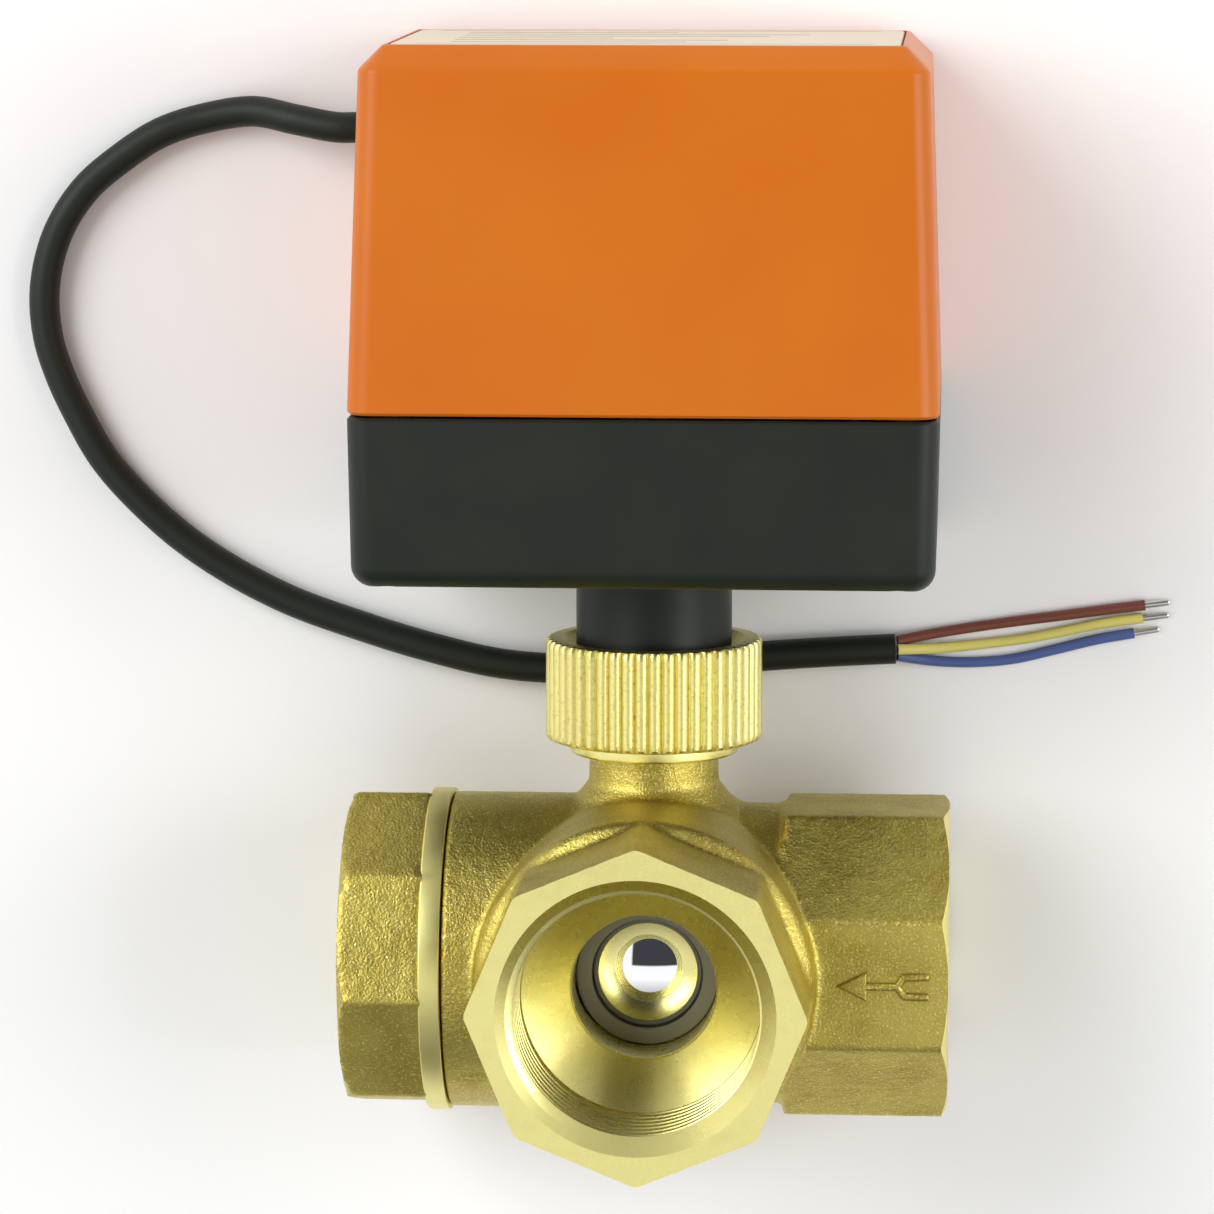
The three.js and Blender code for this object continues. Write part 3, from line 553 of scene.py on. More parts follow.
def screw_thread(name, root, crest, pitch, start, end, axis, look, land=0.35):
    """A helical thread as a solid bar. land is how much of each turn stays at the root radius."""
    per_turn = 10
    segments = 144
    angles = circle(segments)
    lines = int((end - start) / pitch * per_turn) + 2 * per_turn + 1
    rings = [along_axis(0.0, start, angles, axis)]
    for line in range(lines):
        distance = np.clip(start + (line / per_turn + angles / (2 * math.pi) - 1) * pitch, start, end)
        phase = (distance - start) / pitch - angles / (2 * math.pi)
        height = 1 - np.abs(2 * (phase % 1) - 1)
        height = np.clip((height - land) / (1 - land), 0, 1)
        height = height * height * (3 - 2 * height)
        rings.append(along_axis(root + (crest - root) * height, distance, angles, axis))
    rings.append(along_axis(0.0, end, angles, axis))
    faces = quads(2, segments)
    for line in range(1, lines):
        for column in range(segments - 1):
            here = line * segments + column
            faces.append((here, here + 1, here + 1 + segments, here + segments))
        last = (line + 1) * segments - 1
        first = (line + per_turn) * segments
        if line + 1 + per_turn <= lines:
            faces.append((last, first, first + segments, last + segments))
    top = lines * segments
    faces.extend(tuple(top + corner for corner in face) for face in quads(2, segments))
    return solid(name, np.reshape(rings, (-1, 3)), faces, look)


def settle(piece):
    """Turns a piece's modifiers into its mesh."""
    graph = bpy.context.evaluated_depsgraph_get()
    settled = bpy.data.meshes.new_from_object(piece.evaluated_get(graph), depsgraph=graph)
    piece.modifiers.clear()
    piece.data = settled


def combine(piece, others, operation):
    """Runs a boolean with each of the others, which are used up."""
    for other in others:
        modifier = piece.modifiers.new(operation, "BOOLEAN")
        modifier.operation = operation
        modifier.object = other
        modifier.solver = "MANIFOLD"
        modifier.material_mode = "TRANSFER"
    settle(piece)
    for other in others:
        bpy.data.objects.remove(other)
    return piece


def shifted(piece, x, y, z):
    """The piece, moved by this many millimetres."""
    piece.data.transform(Matrix.Translation((x, y, z)))
    return piece


def cut(piece, *tools):
    return combine(piece, tools, "DIFFERENCE")


def join(piece, *others):
    return combine(piece, others, "UNION")


def casting(name, *parts):
    """Overlapping shapes run together as in a sand mould: one rough skin with eased edges and fillets."""
    whole = join(*parts)
    whole.name = name
    remesh = whole.modifiers.new("skin", "REMESH")
    remesh.mode = "VOXEL"
    remesh.voxel_size = 0.4
    smooth = whole.modifiers.new("soft", "SMOOTH")
    smooth.iterations = 6
    settle(whole)
    whole.data.materials.clear()
    whole.data.materials.append(LOOKS["cast_brass"])
    roughen(whole.data)
    return whole


def roughen(mesh):
    """Lifts and lowers a skin by noise, along its normals."""
    places = np.empty(len(mesh.vertices) * 3)
    mesh.vertices.foreach_get("co", places)
    normals = np.empty(len(mesh.vertices) * 3)
    mesh.vertices.foreach_get("normal", normals)
    points = places.reshape(-1, 3) / CAST_GRAIN
    lift = [0.6 * noise.noise(point) + 0.4 * noise.noise(2.3 * Vector(point)) for point in points]
    places += (normals.reshape(-1, 3) * np.array(lift)[:, None] * CAST_RELIEF).ravel()
    mesh.vertices.foreach_set("co", places)
    mesh.update()


def finished(piece, body, slot, *nodes):
    """Moves a piece into the frame, shades it, hangs it on its body and hides the nodes it stands for."""
    piece.data.transform(TO_FRAME)
    piece.data.shade_smooth()
    piece.data.set_sharp_from_angle(angle=SHARP_ANGLE)
    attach(piece, body)
    if nodes:
        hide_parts(*nodes)


# ---- Cable ----

CABLE_DROP = [
    (-GLAND_NOSE - CLEARANCE, 105, -14.5),
    (-42, 105, -14.5),
    (-47.5, 105.9, -15.8),
    (-53.3, 106.8, -18.4),
]
CABLE_ON_FLOOR = [
    (-59.5, 105.9),
    (-65.5, 104),
    (-70.8, 100.7),
    (-75.9, 96.3),
    (-79.6, 90.4),
    (-81.3, 83.5),
    (-81, 77.3),
    (-79.5, 72.2),
    (-77, 66.7),
    (-73.4, 60.5),
    (-66.3, 53),
    (-59.3, 47.7),
    (-49.8, 42.6),
    (-40.4, 39.2),
    (-30.8, 36.3),
    (-21.4, 34.2),
    (-12, 33.6),
    (0, 34.2),
    (12.9, 35.5),
    (22.1, 36.2),
    (30.6, 36.7),
]
CABLE_ROUTE = CABLE_DROP + [(x, y, CABLE_Z) for x, y in CABLE_ON_FLOOR]
# Each core's points, with their height above a core's place on the floor.
CORE_ROUTES = {
    "brown": [
        (30.9, 37.7, 1.0),
        (35, 38.5, 0.3),
        (40.4, 39.4, 0),
        (47, 40.4, 0),
        (52.9, 41.2, 0),
        (58.5, 42, 0),
        (66.1, 43, 0),
    ],
    "yellow": [
        (30.9, 36.7, 2.0),
        (35.5, 36.7, 0.7),
        (42.3, 37.3, 0),
        (48, 38.1, 0),
        (52.9, 39.1, 0),
        (58, 40.2, 0),
        (66, 41.3, 0),
    ],
    "blue": [
        (30.9, 35.7, 1.0),
        (35, 35, 0.1),
        (40.5, 34.8, 0),
        (46, 35.3, 0),
        (51.5, 36.6, 0),
        (57, 38, 0),
        (64.8, 39.4, 0),
    ],
}


def smooth_route(points):
    """Points on a centripetal Catmull-Rom curve through the given ones."""
    steps = 8
    points = [Vector(point) for point in points]
    ends = [2 * points[0] - points[1], *points, 2 * points[-1] - points[-2]]
    route = []
    for index in range(len(points) - 1):
        corners = ends[index:index + 4]
        knots = [0.0]
        for here, there in zip(corners, corners[1:]):
            knots.append(knots[-1] + math.sqrt((there - here).length))
        for step in range(steps):
            time = knots[1] + (knots[2] - knots[1]) * step / steps
            level = corners
            for span in (1, 2, 3):
                level = [
                    level[k].lerp(level[k + 1], blend_at(knots, k, span, time))
                    for k in range(len(level) - 1)
                ]
            route.append(level[0])
    route.append(points[-1])
    return route


def blend_at(knots, k, span, time):
    """The share of the later point in one step of the curve's pyramid, which has three levels."""
    low, high = (knots[1], knots[2]) if span == 3 else (knots[k], knots[k + span])
    return (time - low) / (high - low)


def cord_curve(name, route, radius, look):
    """A round curve along a route, closed at both ends."""
    curve = bpy.data.curves.new(name, "CURVE")
    curve.dimensions = "3D"
    curve.bevel_depth = radius * MM
    curve.bevel_resolution = 6
    curve.use_fill_caps = True
    spline = curve.splines.new("POLY")
    spline.points.add(len(route) - 1)
    for point, place in zip(spline.points, route):
        point.co = (*(TO_FRAME @ place), 1)
    spline.use_smooth = True
    curve.materials.append(LOOKS[look])
    return new_object(name, curve)


def lay_cord(name, route, radius, look, node, **more):
    """A cord of the actuator's, round and free at its far end, in place of a node."""
    cord = cord_curve(name, route, radius, look)
    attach(cord, "actuator")
    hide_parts(node)


def add_cords():
    """The cable, and the three cores that come out of it, each bared over its last steps."""
    bared = 3
    lay_cord("cable_jacket", smooth_route(CABLE_ROUTE), CABLE_RADIUS, "rubber", "supply_cable")
    for colour, points in CORE_ROUTES.items():
        pvc = f"{colour}_pvc"
        route = smooth_route([(x, y, CORE_Z + rise) for x, y, rise in points])
        tip = raised_bar(f"{colour}_strands", route[-bared - 2], route[-1], STRANDS_RADIUS, "tinned_copper")
        finished(tip, "actuator", "steel")
        lay_cord(f"{colour}_core", route[:-bared], CORE_RADIUS, pvc, f"core_{colour}", with_pieces=[tip])


add_cords()

# ---- Valve ----


def port_bore(name, end, depth, throat, axis):
    """The bore of a threaded port, as two cutting tools: the plain bore and the thread."""
    look = f"machined_{axis[-1]}"
    chamfer = PORT_FACE_RADIUS - PORT_THREAD_RADIUS
    past = 1.0
    plain = turned(
        f"{name}_bore",
        [
            (0, depth),
            (throat, depth),
            (throat, PORT_FUNNEL_END, 0.5),
            (PORT_THREAD_RADIUS, PORT_THREAD_END, 0.3),
            (PORT_THREAD_RADIUS, end - chamfer),
            (PORT_FACE_RADIUS, end),
            (PORT_FACE_RADIUS, end + past),
            (0, end + past),
        ],
        look,
        axis,
        PORT_SEGMENTS,
    )
    thread = screw_thread(
        f"{name}_thread",
        PORT_THREAD_RADIUS - 0.2,
        PORT_THREAD_RADIUS + PORT_THREAD_DEPTH,
        PORT_THREAD_PITCH,
        PORT_THREAD_END,
        end + past,
        axis,
        look,
    )
    return plain, thread


def flow_arrow():
    """The cast arrow on the inlet's upper flat: a solid head towards the ball, and a forked tail."""
    flat = PORT_FLATS / 2
    tip = 24.0
    barb = 27.9
    barb_half = 1.95
    fork = 31.6
    prong = fork + 0.9
    tail = 35.2
    spread = 1.2
    bar_radius = 0.5
    bar_height = flat + 0.08
    middle = (tip + 2 * barb) / 3
    head = [(tip, 0), (barb, -barb_half), (barb, barb_half)]
    rings = []
    for height, scale in [(-0.6, 1.05), (0.2, 1.0), (0.5, 0.86), (0.6, 0.7)]:
        rings.append([(middle + (x - middle) * scale, y * scale, flat + height) for x, y in head])
    bars = [((barb - 0.5, 0), (fork, 0))]
    for side in (-spread, spread):
        bars.append(((fork, 0), (prong, side)))
        bars.append(((prong, side), (tail, 1.08 * side)))
    pieces = [loft("arrow_head", rings, "cast_brass")]
    for index, (start, end) in enumerate(bars):
        ends = (*start, bar_height), (*end, bar_height)
        pieces.append(raised_bar(f"arrow_{index}", *ends, bar_radius, "cast_brass"))
    return pieces


def body_casting():
    """The skin of the valve body, before any machining. The hub has a flat pad at the back."""
    pad_radius = 7
    dome = sphere_arc(HUB_RADIUS, -70.9, 0, 16)
    hub = turned(
        "hub",
        [(0, BENCH), (pad_radius, BENCH, 0.4), *dome, (HUB_RADIUS, HUB_FRONT, 1.6), (0, HUB_FRONT)],
        axis="z",
    )
    flare = [
        (0, 10),
        (16, 14),
        (13, 18.2),
        (10, 20.3),
        (BONNET_NECK_RADIUS, 22.5),
        (BONNET_NECK_RADIUS, BONNET_HEAD_START + 1),
        (0, BONNET_HEAD_START + 1),
    ]
    eighth = math.pi / 8
    return casting(
        "valve_casting",
        hub,
        rod("barrel", BARREL_RADIUS, 0, BARREL_END, axis="-x"),
        rod("inlet_neck", INLET_NECK_RADIUS, 0, INLET_OCTAGON_START + 1, axis="x"),
        octagon("inlet_octagon", INLET_OCTAGON_START, INLET_END + 2, "x"),
        octagon("branch_octagon", HUB_FRONT - 2, BRANCH_END + 2, "z", eighth),
        turned("bonnet", flare),
    )


def inlet_corner_cutter():
    """A ring that takes the corners off the inlet's octagon."""
    inner = PORT_FLATS / 2 - 0.15
    outer = PORT_FLATS / 2 + 4
    past = INLET_END + 3
    return turned(
        "inlet_corners",
        [(inner, INLET_END + 0.1), (outer, INLET_END - PORT_CHAMFER), (outer, past), (inner, past)],
        "machined_x",
        "x",
        PORT_SEGMENTS,
    )


def bonnet_head():
    """The bonnet's threaded head and its thread, as two solids."""
    neck = BONNET_NECK_RADIUS - 0.6
    root = BONNET_HEAD_RADIUS - BONNET_THREAD_RELIEF + 0.05
    head = turned(
        "bonnet_head",
        [
            (0, BONNET_HEAD_START - 1),
            (neck, BONNET_HEAD_START - 1),
            (neck, BONNET_HEAD_START),
            (BONNET_HEAD_RADIUS, BONNET_HEAD_START, 0.35),
            (BONNET_HEAD_RADIUS, BONNET_HEAD_START + 2.0, 0.2),
            (root, BONNET_HEAD_START + 2.4),
            (root, BONNET_HEAD_END, 0.5),
            (0, BONNET_HEAD_END),
        ],
        "machined_y",
    )
    thread = screw_thread(
        "bonnet_thread",
        BONNET_HEAD_RADIUS - BONNET_THREAD_RELIEF,
        BONNET_HEAD_RADIUS,
        NUT_THREAD_PITCH,
        BONNET_HEAD_START + 2.2,
        BONNET_HEAD_END - 0.5,
        "y",
        "machined_y",
        NUT_THREAD_LAND,
    )
    return head, thread


def ball_chamber():
    """What the ball turns in: a bore from the outlet's side with a domed end."""
    dome = sphere_arc(CAVITY_RADIUS, 0, -90, 24)
    mouth = BARREL_END - 2
    return turned("cavity", [(0, mouth), (CAVITY_RADIUS, mouth), *dome], "machined_x", "-x")


def machine_body(body):
    """Faces the casting's ends and bores it."""
    far = 60
    inside = 10
    pocket = SEAT_FACE + CLEARANCE
    top = BONNET_HEAD_END + 1
    cut(
        body,
        block("branch_facing", (-far, -far, BRANCH_END), (far, far, far), "machined_z"),
        block("inlet_facing", (INLET_END, -far, -far), (far, far, far), "machined_x"),
        block("barrel_facing", (-far, -far, -far), (-BARREL_END, far, far), "machined_x"),
        inlet_corner_cutter(),
        *port_bore("branch", BRANCH_END, 0, PORT_THROAT_RADIUS, "z"),
        *port_bore("inlet", INLET_END, pocket - 1, BALL_BORE, "x"),
        ball_chamber(),
        rod("cap_thread", CAP_THREAD_RADIUS, CAP_THREAD_END, BARREL_END + 1, "machined_x", "-x"),
        rod("inlet_pocket", PORT_THROAT_RADIUS, 0, pocket, "machined_x", "x"),
        rod("rear_pocket", PORT_THROAT_RADIUS, 0, pocket, "machined_z", "-z"),
        rod("washer_pocket", WASHER_POCKET_RADIUS, inside, WASHER_POCKET_END, "machined_y"),
        rod("stem_bore", STEM_BORE_RADIUS, inside, top, "machined_y"),
    )


def add_valve_body():
    body = body_casting()
    join(body, *bonnet_head(), *flow_arrow())
    machine_body(body)
    finished(body, "valve", "cast_brass", "valve_body")


def add_end_cap():
    """The outlet's cap: a cast octagon with a turned ring and spigot behind it."""
    far = 60
    nose = SEAT_FACE + CLEARANCE
    spigot_start = math.sqrt((BALL_RADIUS + CLEARANCE) ** 2 - PORT_THROAT_RADIUS ** 2) + 0.1
    spigot_radius = CAVITY_RADIUS - CLEARANCE
    thread_radius = CAP_THREAD_RADIUS - CLEARANCE
    ring_start = BARREL_END + CAP_SEAM
    cap = casting(
        "end_cap_casting",
        octagon("cap_octagon", CAP_RING_END - 0.5, OUTLET_END + 0.4, "-x", CAP_TWIST, PORT_CHAMFER),
    )
    spigot = turned(
        "cap_spigot",
        [
            (0, spigot_start),
            (spigot_radius, spigot_start, 0.4),
            (spigot_radius, CAP_SHOULDER, 0.2),
            (thread_radius, CAP_SHOULDER, 0.4),
            (thread_radius, ring_start),
            (CAP_RING_RADIUS, ring_start, 0.15),
            (CAP_RING_RADIUS, CAP_RING_END, 0.25),
            (0, CAP_RING_END),
        ],
        "machined_x",
        "-x",
        PORT_SEGMENTS,
    )
    join(cap, spigot)
    cut(
        cap,
        block("cap_facing", (-far, -far, -far), (-OUTLET_END, far, far), "machined_x"),
        *port_bore("outlet", OUTLET_END, nose - 1, BALL_BORE, "-x"),
        rod("cap_pocket", PORT_THROAT_RADIUS, 0, nose, "machined_x", "-x"),
    )
    finished(cap, "valve", "cast_brass", "end_cap")


def add_seats():
    """Four rings hollowed to the ball, each with an eased front face."""
    clear = BALL_RADIUS + CLEARANCE
    middle = (SEAT_INNER + SEAT_OUTER) / 2
    lip = PORT_THROAT_RADIUS - 0.05
    on_ball = [
        (radius, math.sqrt(clear * clear - radius * radius))
        for radius in np.linspace(SEAT_INNER, SEAT_OUTER, 6)
    ]
    profile = [
        (middle, SEAT_FACE),
        (SEAT_INNER, SEAT_FACE, 0.2),
        *on_ball,
        (lip, SEAT_FACE - 1.0),
        (lip, SEAT_FACE, 0.3),
        (middle + 0.01, SEAT_FACE),
    ]
    for side, axis in {"branch": "z", "inlet": "x", "outlet": "-x", "rear": "-z"}.items():
        seat = turned(f"{side}_seat_ring", profile, "ptfe", axis)
        finished(seat, "valve", "ptfe", f"{side}_seat")


def add_ball():
    """Open to the inlet, the outlet and the back, with a slot for the stem's blade."""
    far = 20
    flare = 0.5
    lip = math.sqrt(BALL_RADIUS ** 2 - BALL_BORE ** 2)

    def bore(name, axis, start):
        return turned(
            name,
            [
                (0, start),
                (BALL_BORE, start),
                (BALL_BORE, lip - flare, 0.6),
                (BALL_BORE + 2 * flare, lip + flare),
                (BALL_BORE + 2 * flare, far),
                (0, far),
            ],
            "chrome",
            axis,
        )

    ball = turned("chromed_ball", sphere_arc(BALL_RADIUS, -90, 90, 73), "chrome", "y", 144)
    cut(
        ball,
        bore("run_bore", "x", -1),
        bore("far_bore", "-x", -1),
        bore("rear_bore", "-z", 0),
        block("blade_slot", (-far, BLADE_SLOT, -BLADE_SLOT_HALF), (far, far, BLADE_SLOT_HALF), "chrome"),
    )
    finished(ball, "ball_and_stem", "chrome", "ball")


add_valve_body()
add_end_cap()
add_seats()
add_ball()

# ---- Union nut ----


def add_union_nut():
    """A knurled nut: broad round ribs with narrow valleys, and an internal thread below its lip."""
    angles = circle(NUT_RIBS * 14)
    phase = (angles * NUT_RIBS / (2 * math.pi)) % 1 - 0.5
    valley = (2 * np.abs(phase)) ** 2.4
    lip_radius = NECK_RADIUS + CLEARANCE

    def ring(radius, height, knurl):
        return along_axis(radius - NUT_GROOVE * knurl * valley, height, angles, "y")

    rings = [
        ring(NUT_THREAD_RADIUS + 0.9, NUT_BOTTOM, 0),
        ring(NUT_RADIUS - 0.7, NUT_BOTTOM, 0),
        ring(NUT_RADIUS - 0.25, NUT_BOTTOM + 0.15, 0.7),
    ]
    for height in np.linspace(NUT_BOTTOM + 0.5, NUT_TOP - 0.5, 20):
        rings.append(ring(NUT_RADIUS, height, 1))
    rings += [
        ring(NUT_RADIUS - 0.2, NUT_TOP - 0.1, 0.9),
        ring(NUT_RADIUS - 0.55, NUT_TOP, 0.5),
        ring(lip_radius + 1.6, NUT_TOP, 0),
        ring(lip_radius, NUT_TOP - 1.6, 0),
        ring(lip_radius, NUT_LIP, 0),
        ring(NUT_THREAD_RADIUS, NUT_LIP, 0),
        ring(NUT_THREAD_RADIUS, NUT_BOTTOM + 0.9, 0),
    ]
    nut = loft("knurled_union_nut", rings, "nut_brass", closed=True)
    thread = screw_thread(
        "nut_thread",
        NUT_THREAD_RADIUS - 0.1,
        NUT_THREAD_RADIUS + 0.75,
        NUT_THREAD_PITCH,
        NUT_BOTTOM - 0.5,
        NUT_LIP - 2.5,
        "y",
        "machined_y",
        NUT_THREAD_LAND,
    )
    cut(nut, thread)
    finished(nut, "nut", "nut_brass", "union_nut")


add_union_nut()

# ---- Actuator housing ----


def rounded_rectangle(low, high, radius, steps):
    """The outline of a rectangle with round corners between two points of (x, z)."""
    centres = [
        (high[0] - radius, high[1] - radius),
        (low[0] + radius, high[1] - radius),
        (low[0] + radius, low[1] + radius),
        (high[0] - radius, low[1] + radius),
    ]
    outline = []
    for quarter, (x, z) in enumerate(centres):
        for step in range(steps + 1):
            angle = (quarter + step / steps) * math.pi / 2
            outline.append((x + radius * math.cos(angle), z + radius * math.sin(angle)))
    return outline


def housing_ring(height, inset, spread):
    """The housing's outline at a height, moved in by inset. The sides and the front then lean in by
    spread, and the back stays where it is."""
    low = (inset - HOUSING_HALF, HOUSING_BACK + inset)
    high = (HOUSING_HALF - inset, HOUSING_FRONT - inset)
    outline = rounded_rectangle(low, high, max(HOUSING_CORNER - inset, 0.8), 9)
    lean_x = 1 - spread / HOUSING_HALF
    lean_z = 1 - spread / (HOUSING_FRONT - HOUSING_BACK)
    return [(x * lean_x, height, HOUSING_BACK + (z - HOUSING_BACK) * lean_z) for x, z in outline]


def housing_loft(name, profile, draft, look):
    """A solid with the housing's outline: profile gives (height, inset[, corner radius]) from the bottom."""
    rings = [
        housing_ring(height, inset, draft * (height - HOUSING_SEAM)) for height, inset in eased(profile, 6)
    ]
    return loft(name, rings, look)


def posts(name, radius, start, end, look):
    """A round bar at the place of each cover screw."""
    return [
        shifted(rod(f"{name}_{index}", radius, start, end, look, segments=48), x, 0, z)
        for index, (x, z) in enumerate(SCREW_PLACES)
    ]


def add_cover():
    """The orange shell, with bosses inside for the screws and a recess on top for the label."""
    look = "orange_plastic"
    low = HOUSING_SEAM + CLEARANCE / 2
    top = HOUSING_TOP
    below = low - 5
    wall = HOUSING_WALL
    boss_radius = 2.7
    boss_end = 92
    pilot_end = 84
    cover = housing_loft(
        "orange_cover",
        [(low, 0.35), (low + 0.35, 0), (top - COVER_CHAMFER, 0, 0.9), (top, COVER_CHAMFER, 0.7), (top, 12)],
        COVER_DRAFT,
        look,
    )
    inside = housing_loft("cover_inside", [(below, wall), (top - wall - 0.6, wall)], COVER_DRAFT, look)
    lip = housing_loft("cover_lip", [(below, wall / 2), (HOUSING_SEAM + 1.1, wall / 2)], 0, look)
    recess = block(
        "label_recess",
        (LABEL_LOW.x - CLEARANCE, LABEL_LOW.y - CLEARANCE, LABEL_LOW.z - CLEARANCE),
        (LABEL_HIGH.x + CLEARANCE, top + 1, LABEL_HIGH.z + CLEARANCE),
        look,
    )
    gland_hole = rod("gland_hole", GLAND_RADIUS + CLEARANCE, 25, 45, look, "-x", 48)
    cut(cover, inside, lip, recess, shifted(gland_hole, 0, GLAND_Y, GLAND_Z))
    join(cover, *posts("boss", boss_radius, COVER_LOW.y, boss_end, look))
    cut(cover, *posts("pilot", SCREW_HOLE_RADIUS, COVER_LOW.y - 10, pilot_end, look))
    finished(cover, "actuator", look, "cover")


def add_base():
    """The black tray, with a post round each screw and a hole for the neck."""
    look = "black_plastic"
    bottom = HOUSING_BOTTOM
    below = bottom - 1
    high = BASE_HIGH.y
    corner = 2.6
    post_radius = 3.4
    post_end = 68.3
    counterbore_radius = 2.9
    counterbore_end = 53.9
    base = housing_loft(
        "black_base",
        [(bottom, 12), (bottom, 0, corner), (high - 0.35, 0), (high, 0.35)],
        -BASE_DRAFT,
        look,
    )
    inside = housing_loft("base_inside", [(BASE_FLOOR, HOUSING_WALL), (high + 5, HOUSING_WALL)], 0, look)
    cut(base, inside)
    join(base, *posts("post", post_radius, BASE_FLOOR - 1, post_end, look))
    cut(
        base,
        *posts("screw_hole", SCREW_HOLE_RADIUS, below, high + 5, look),
        *posts("counterbore", counterbore_radius, below, counterbore_end, look),
        rod("neck_hole", NECK_RADIUS + CLEARANCE, below, BASE_FLOOR + 1, look),
    )
    finished(base, "actuator", look, "base_housing")


def add_neck():
    """The tube between nut and housing, with a collar for the nut and a flange on the housing's floor."""
    flange = BASE_FLOOR + CLEARANCE
    neck = turned(
        "black_neck",
        [
            (NECK_BORE + 0.01, NECK_LOW.y),
            (NECK_COLLAR_RADIUS, NECK_LOW.y, 0.3),
            (NECK_COLLAR_RADIUS, NECK_COLLAR_TOP, 0.2),
            (NECK_RADIUS, NECK_COLLAR_TOP, 0.3),
            (NECK_RADIUS, flange),
            (NECK_FLANGE_RADIUS, flange, 0.3),
            (NECK_FLANGE_RADIUS, NECK_HIGH.y, 0.3),
            (NECK_BORE, NECK_HIGH.y, 0.2),
            (NECK_BORE, NECK_LOW.y + 0.5),
        ],
        "black_plastic",
    )
    finished(neck, "actuator", "black_plastic", "mounting_neck")


def label_rules():
    """A thin printed line at the front and the back, and rows of plain bars, as raised ink."""
    margin = 3
    left = LABEL_LOW.x + margin
    right = LABEL_HIGH.x - margin
    back = LABEL_LOW.z + margin
    front = LABEL_HIGH.z - margin
    line = 0.4
    bar = 1.1
    pitch = 5.2
    indent = 4
    ink = 0.02
    boxes = [(left, back, right, back + line), (left, front - line, right, front)]
    start = left + indent
    for row, share in enumerate([0.55, 0.9, 0.8, 0.4, 0.7, 0.6]):
        z = back + 4.5 + pitch * row
        boxes.append((start, z, start + share * (right - left - 2 * indent), z + bar))
    return [
        block(f"rule_{index}", (x0, LABEL_HIGH.y - 0.1, z0), (x1, LABEL_HIGH.y + ink, z1), "label_ink")
        for index, (x0, z0, x1, z1) in enumerate(boxes)
    ]


def add_label():
    """A thin plate with round corners, an eased rim and printed rules."""
    corner = 1.5
    ease = 0.15
    rings = []
    for height, inset in [(LABEL_LOW.y, 0), (LABEL_HIGH.y - ease, 0), (LABEL_HIGH.y, ease)]:
        low = (LABEL_LOW.x + inset, LABEL_LOW.z + inset)
        high = (LABEL_HIGH.x - inset, LABEL_HIGH.z - inset)
        rings.append([(x, height, z) for x, z in rounded_rectangle(low, high, corner, 6)])
    plate = loft("foil_label", rings, "label_foil")
    join(plate, *label_rules())
    finished(plate, "actuator", "label_foil", "label_plate")


def add_cover_screws():
    """Four long screws from below, each with a cross recess in its head."""
    recess = 1.1
    for index, (x, z) in enumerate(SCREW_PLACES):
        node = f"cover_screw_{index + 1}"
        low, high = extent(node)
        head_end = low.y + 1.9
        screw = turned(
            f"long_screw_{index + 1}",
            [
                (0, low.y),
                (SCREW_HEAD_RADIUS, low.y, 0.5),
                (SCREW_HEAD_RADIUS, head_end, 0.15),
                (SCREW_RADIUS, head_end),
                (SCREW_RADIUS, high.y, 0.6),
                (0, high.y),
            ],
            "steel",
            segments=48,
        )
        bars = [
            block("slot", (-reach_x, low.y - 1, -reach_z), (reach_x, low.y + recess, reach_z), "steel")
            for reach_x, reach_z in [(1.5, 0.3), (0.3, 1.5)]
        ]
        cut(screw, *bars)
        finished(shifted(screw, x, 0, z), "actuator", "steel", node)


def add_gland():
    """The rubber gland in the side wall: a flange each side, and a tapered nose that holds the cable."""
    inner_end = 31.4
    inner_flange = 32.6
    outer_flange = 35.8
    outer_end = 36.8
    gland = turned(
        "rubber_gland",
        [
            (0, inner_end),
            (GLAND_FLANGE_RADIUS, inner_end, 0.3),
            (GLAND_FLANGE_RADIUS, inner_flange, 0.3),
            (GLAND_RADIUS, inner_flange),
            (GLAND_RADIUS, outer_flange),
            (GLAND_FLANGE_RADIUS, outer_flange, 0.3),
            (GLAND_FLANGE_RADIUS, outer_end, 0.4),
            (GLAND_RADIUS, GLAND_NOSE, 0.3),
            (0, GLAND_NOSE),
        ],
        "rubber",
        "-x",
        64,
    )
    finished(shifted(gland, 0, GLAND_Y, GLAND_Z), "actuator", "rubber", "cable_gland")


add_cover()
add_base()
add_neck()
add_label()
add_cover_screws()
add_gland()

# ---- Looks of the CAD pieces that stay ----


def paint_cad_nodes():
    """Gives every node the look of its slot. Only nodes that nothing replaces are seen."""
    for part in frame["record"]["subparts"]:
        data = frame["nodes"][part["node"]].data
        data.materials.clear()
        data.materials.append(LOOKS[part["material_slot"]])


paint_cad_nodes()

# ---- Floor and light ----


def add_floor():
    """White paper, in metres."""
    size = 3.0
    corners = [(-size, -size, 0), (size, -size, 0), (size, size, 0), (-size, size, 0)]
    mesh = bpy.data.meshes.new("floor")
    mesh.from_pydata(corners, [], [(0, 1, 2, 3)])
    floor = new_object("floor", mesh)
    paper = Finish("floor_paper", (0.97, 0.97, 0.97), 0.9)
    paper.tint(paper.noise(60.0, 2.0), (0.98, 0.98, 0.98))
    mesh.materials.append(paper.material)


def add_area_light(name, place, power, size):
    """A square soft light that faces the ball, at a place in metres from it."""
    light = bpy.data.lights.new(name, "AREA")
    light.energy = power
    light.size = size
    lamp = new_object(name, light)
    offset = Vector(place)
    lamp.location = BALL + offset
    lamp.rotation_euler = (-offset).to_track_quat("-Z", "Y").to_euler()


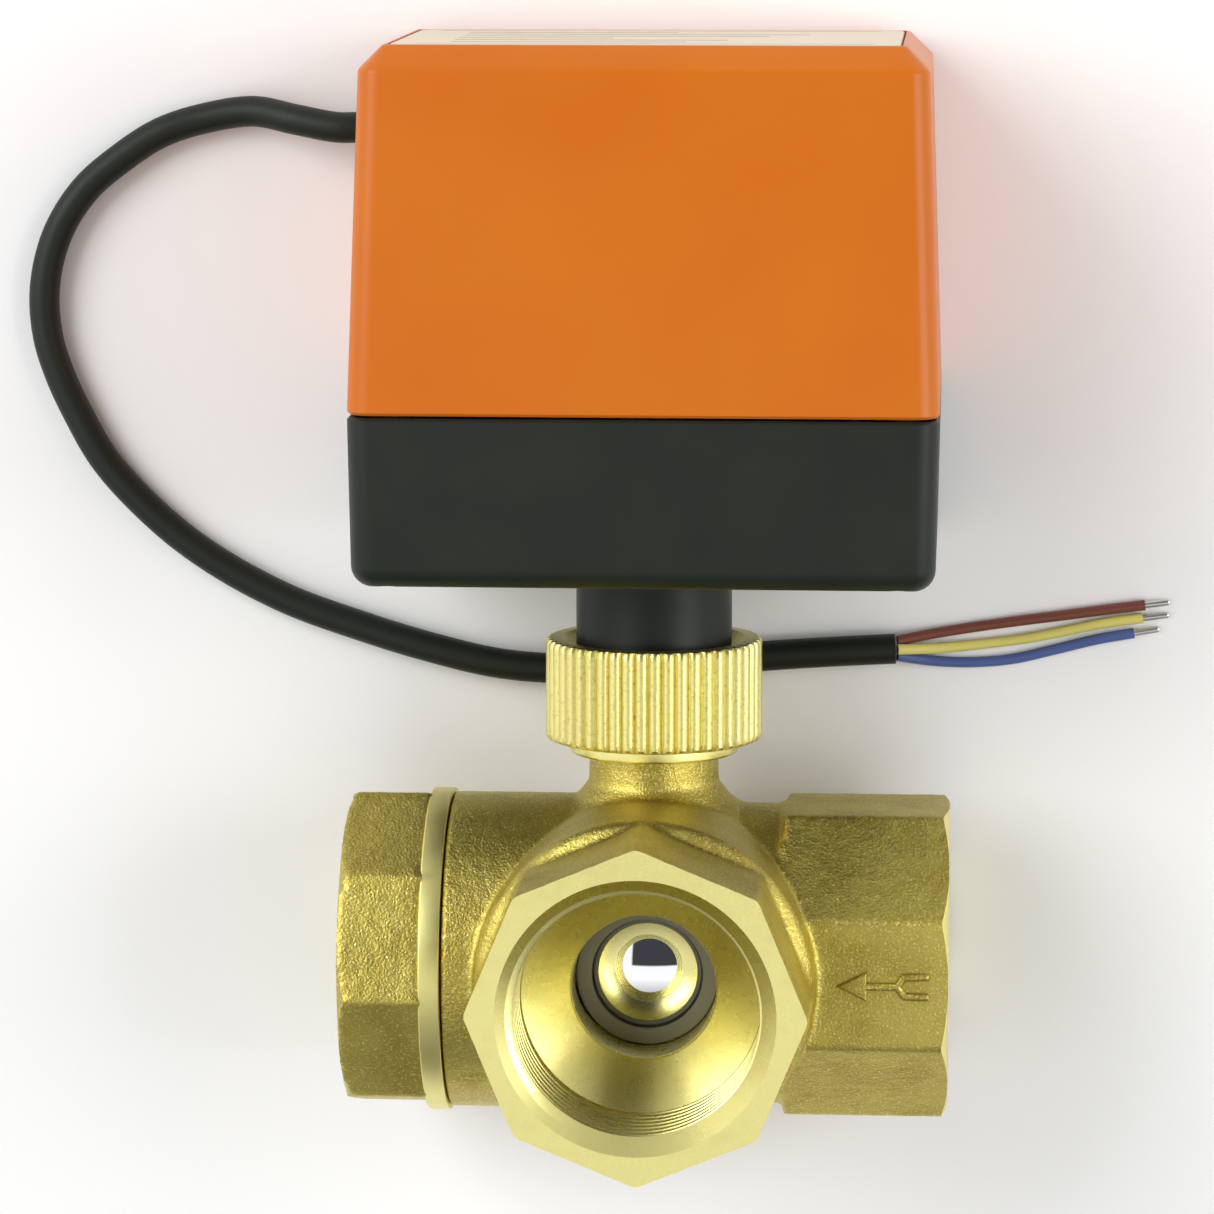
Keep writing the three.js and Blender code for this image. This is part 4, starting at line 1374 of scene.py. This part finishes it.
def add_world():
    """A white studio, dimmer below and overhead, with the dark room behind the lens."""
    world = bpy.data.worlds.new("studio")
    world.use_nodes = True
    bpy.context.scene.world = world
    tree = world.node_tree
    nodes = tree.nodes
    links = tree.links
    background = nodes["Background"]
    where = nodes.new("ShaderNodeTexCoord")
    parts = nodes.new("ShaderNodeSeparateXYZ")
    links.new(where.outputs["Generated"], parts.inputs["Vector"])

    def math_node(operation, first, second):
        node = nodes.new("ShaderNodeMath")
        node.operation = operation
        for socket, value in zip(node.inputs, (first, second)):
            if isinstance(value, float):
                socket.default_value = value
            else:
                links.new(value, socket)
        return node.outputs["Value"]

    # The dark room is a patch of the plane one unit ahead of the object, faded at its edges.
    ahead = math_node("MAXIMUM", parts.outputs["Z"], 0.02)
    across = math_node("DIVIDE", parts.outputs["X"], ahead)
    up = math_node("DIVIDE", parts.outputs["Y"], ahead)
    dark = map_range(tree, across, -0.34, -0.31)
    for place, clear, full in [(across, 0.9, 0.6), (up, -0.07, -0.04), (up, 2.6, 1.7)]:
        dark = math_node("MULTIPLY", dark, map_range(tree, place, clear, full))
    ramp = nodes.new("ShaderNodeValToRGB")
    heights = ramp.color_ramp.elements
    heights[0].color = (0.12, 0.11, 0.1, 1)
    heights[1].color = (0.55, 0.55, 0.54, 1)
    for position, level in [(0.22, 0.4), (0.36, 1.0), (0.62, 0.95)]:
        heights.new(position).color = (level, level, level, 1)
    links.new(map_range(tree, parts.outputs["Y"], -1.0, 1.0), ramp.inputs["Fac"])
    room = nodes.new("ShaderNodeMix")
    room.data_type = "RGBA"
    room.inputs["B"].default_value = (0.05, 0.05, 0.055, 1)
    links.new(dark, room.inputs["Factor"])
    links.new(ramp.outputs["Color"], room.inputs["A"])
    links.new(room.outputs["Result"], background.inputs["Color"])
    background.inputs["Strength"].default_value = 1.12


def add_lights():
    add_area_light("key", (-0.75, 0.5, 0.75), 6.5, 0.7)
    add_area_light("fill", (0.85, 0.15, 0.65), 4.0, 0.6)


add_floor()
add_world()
add_lights()
bpy.context.scene.view_settings.view_transform = "Standard"
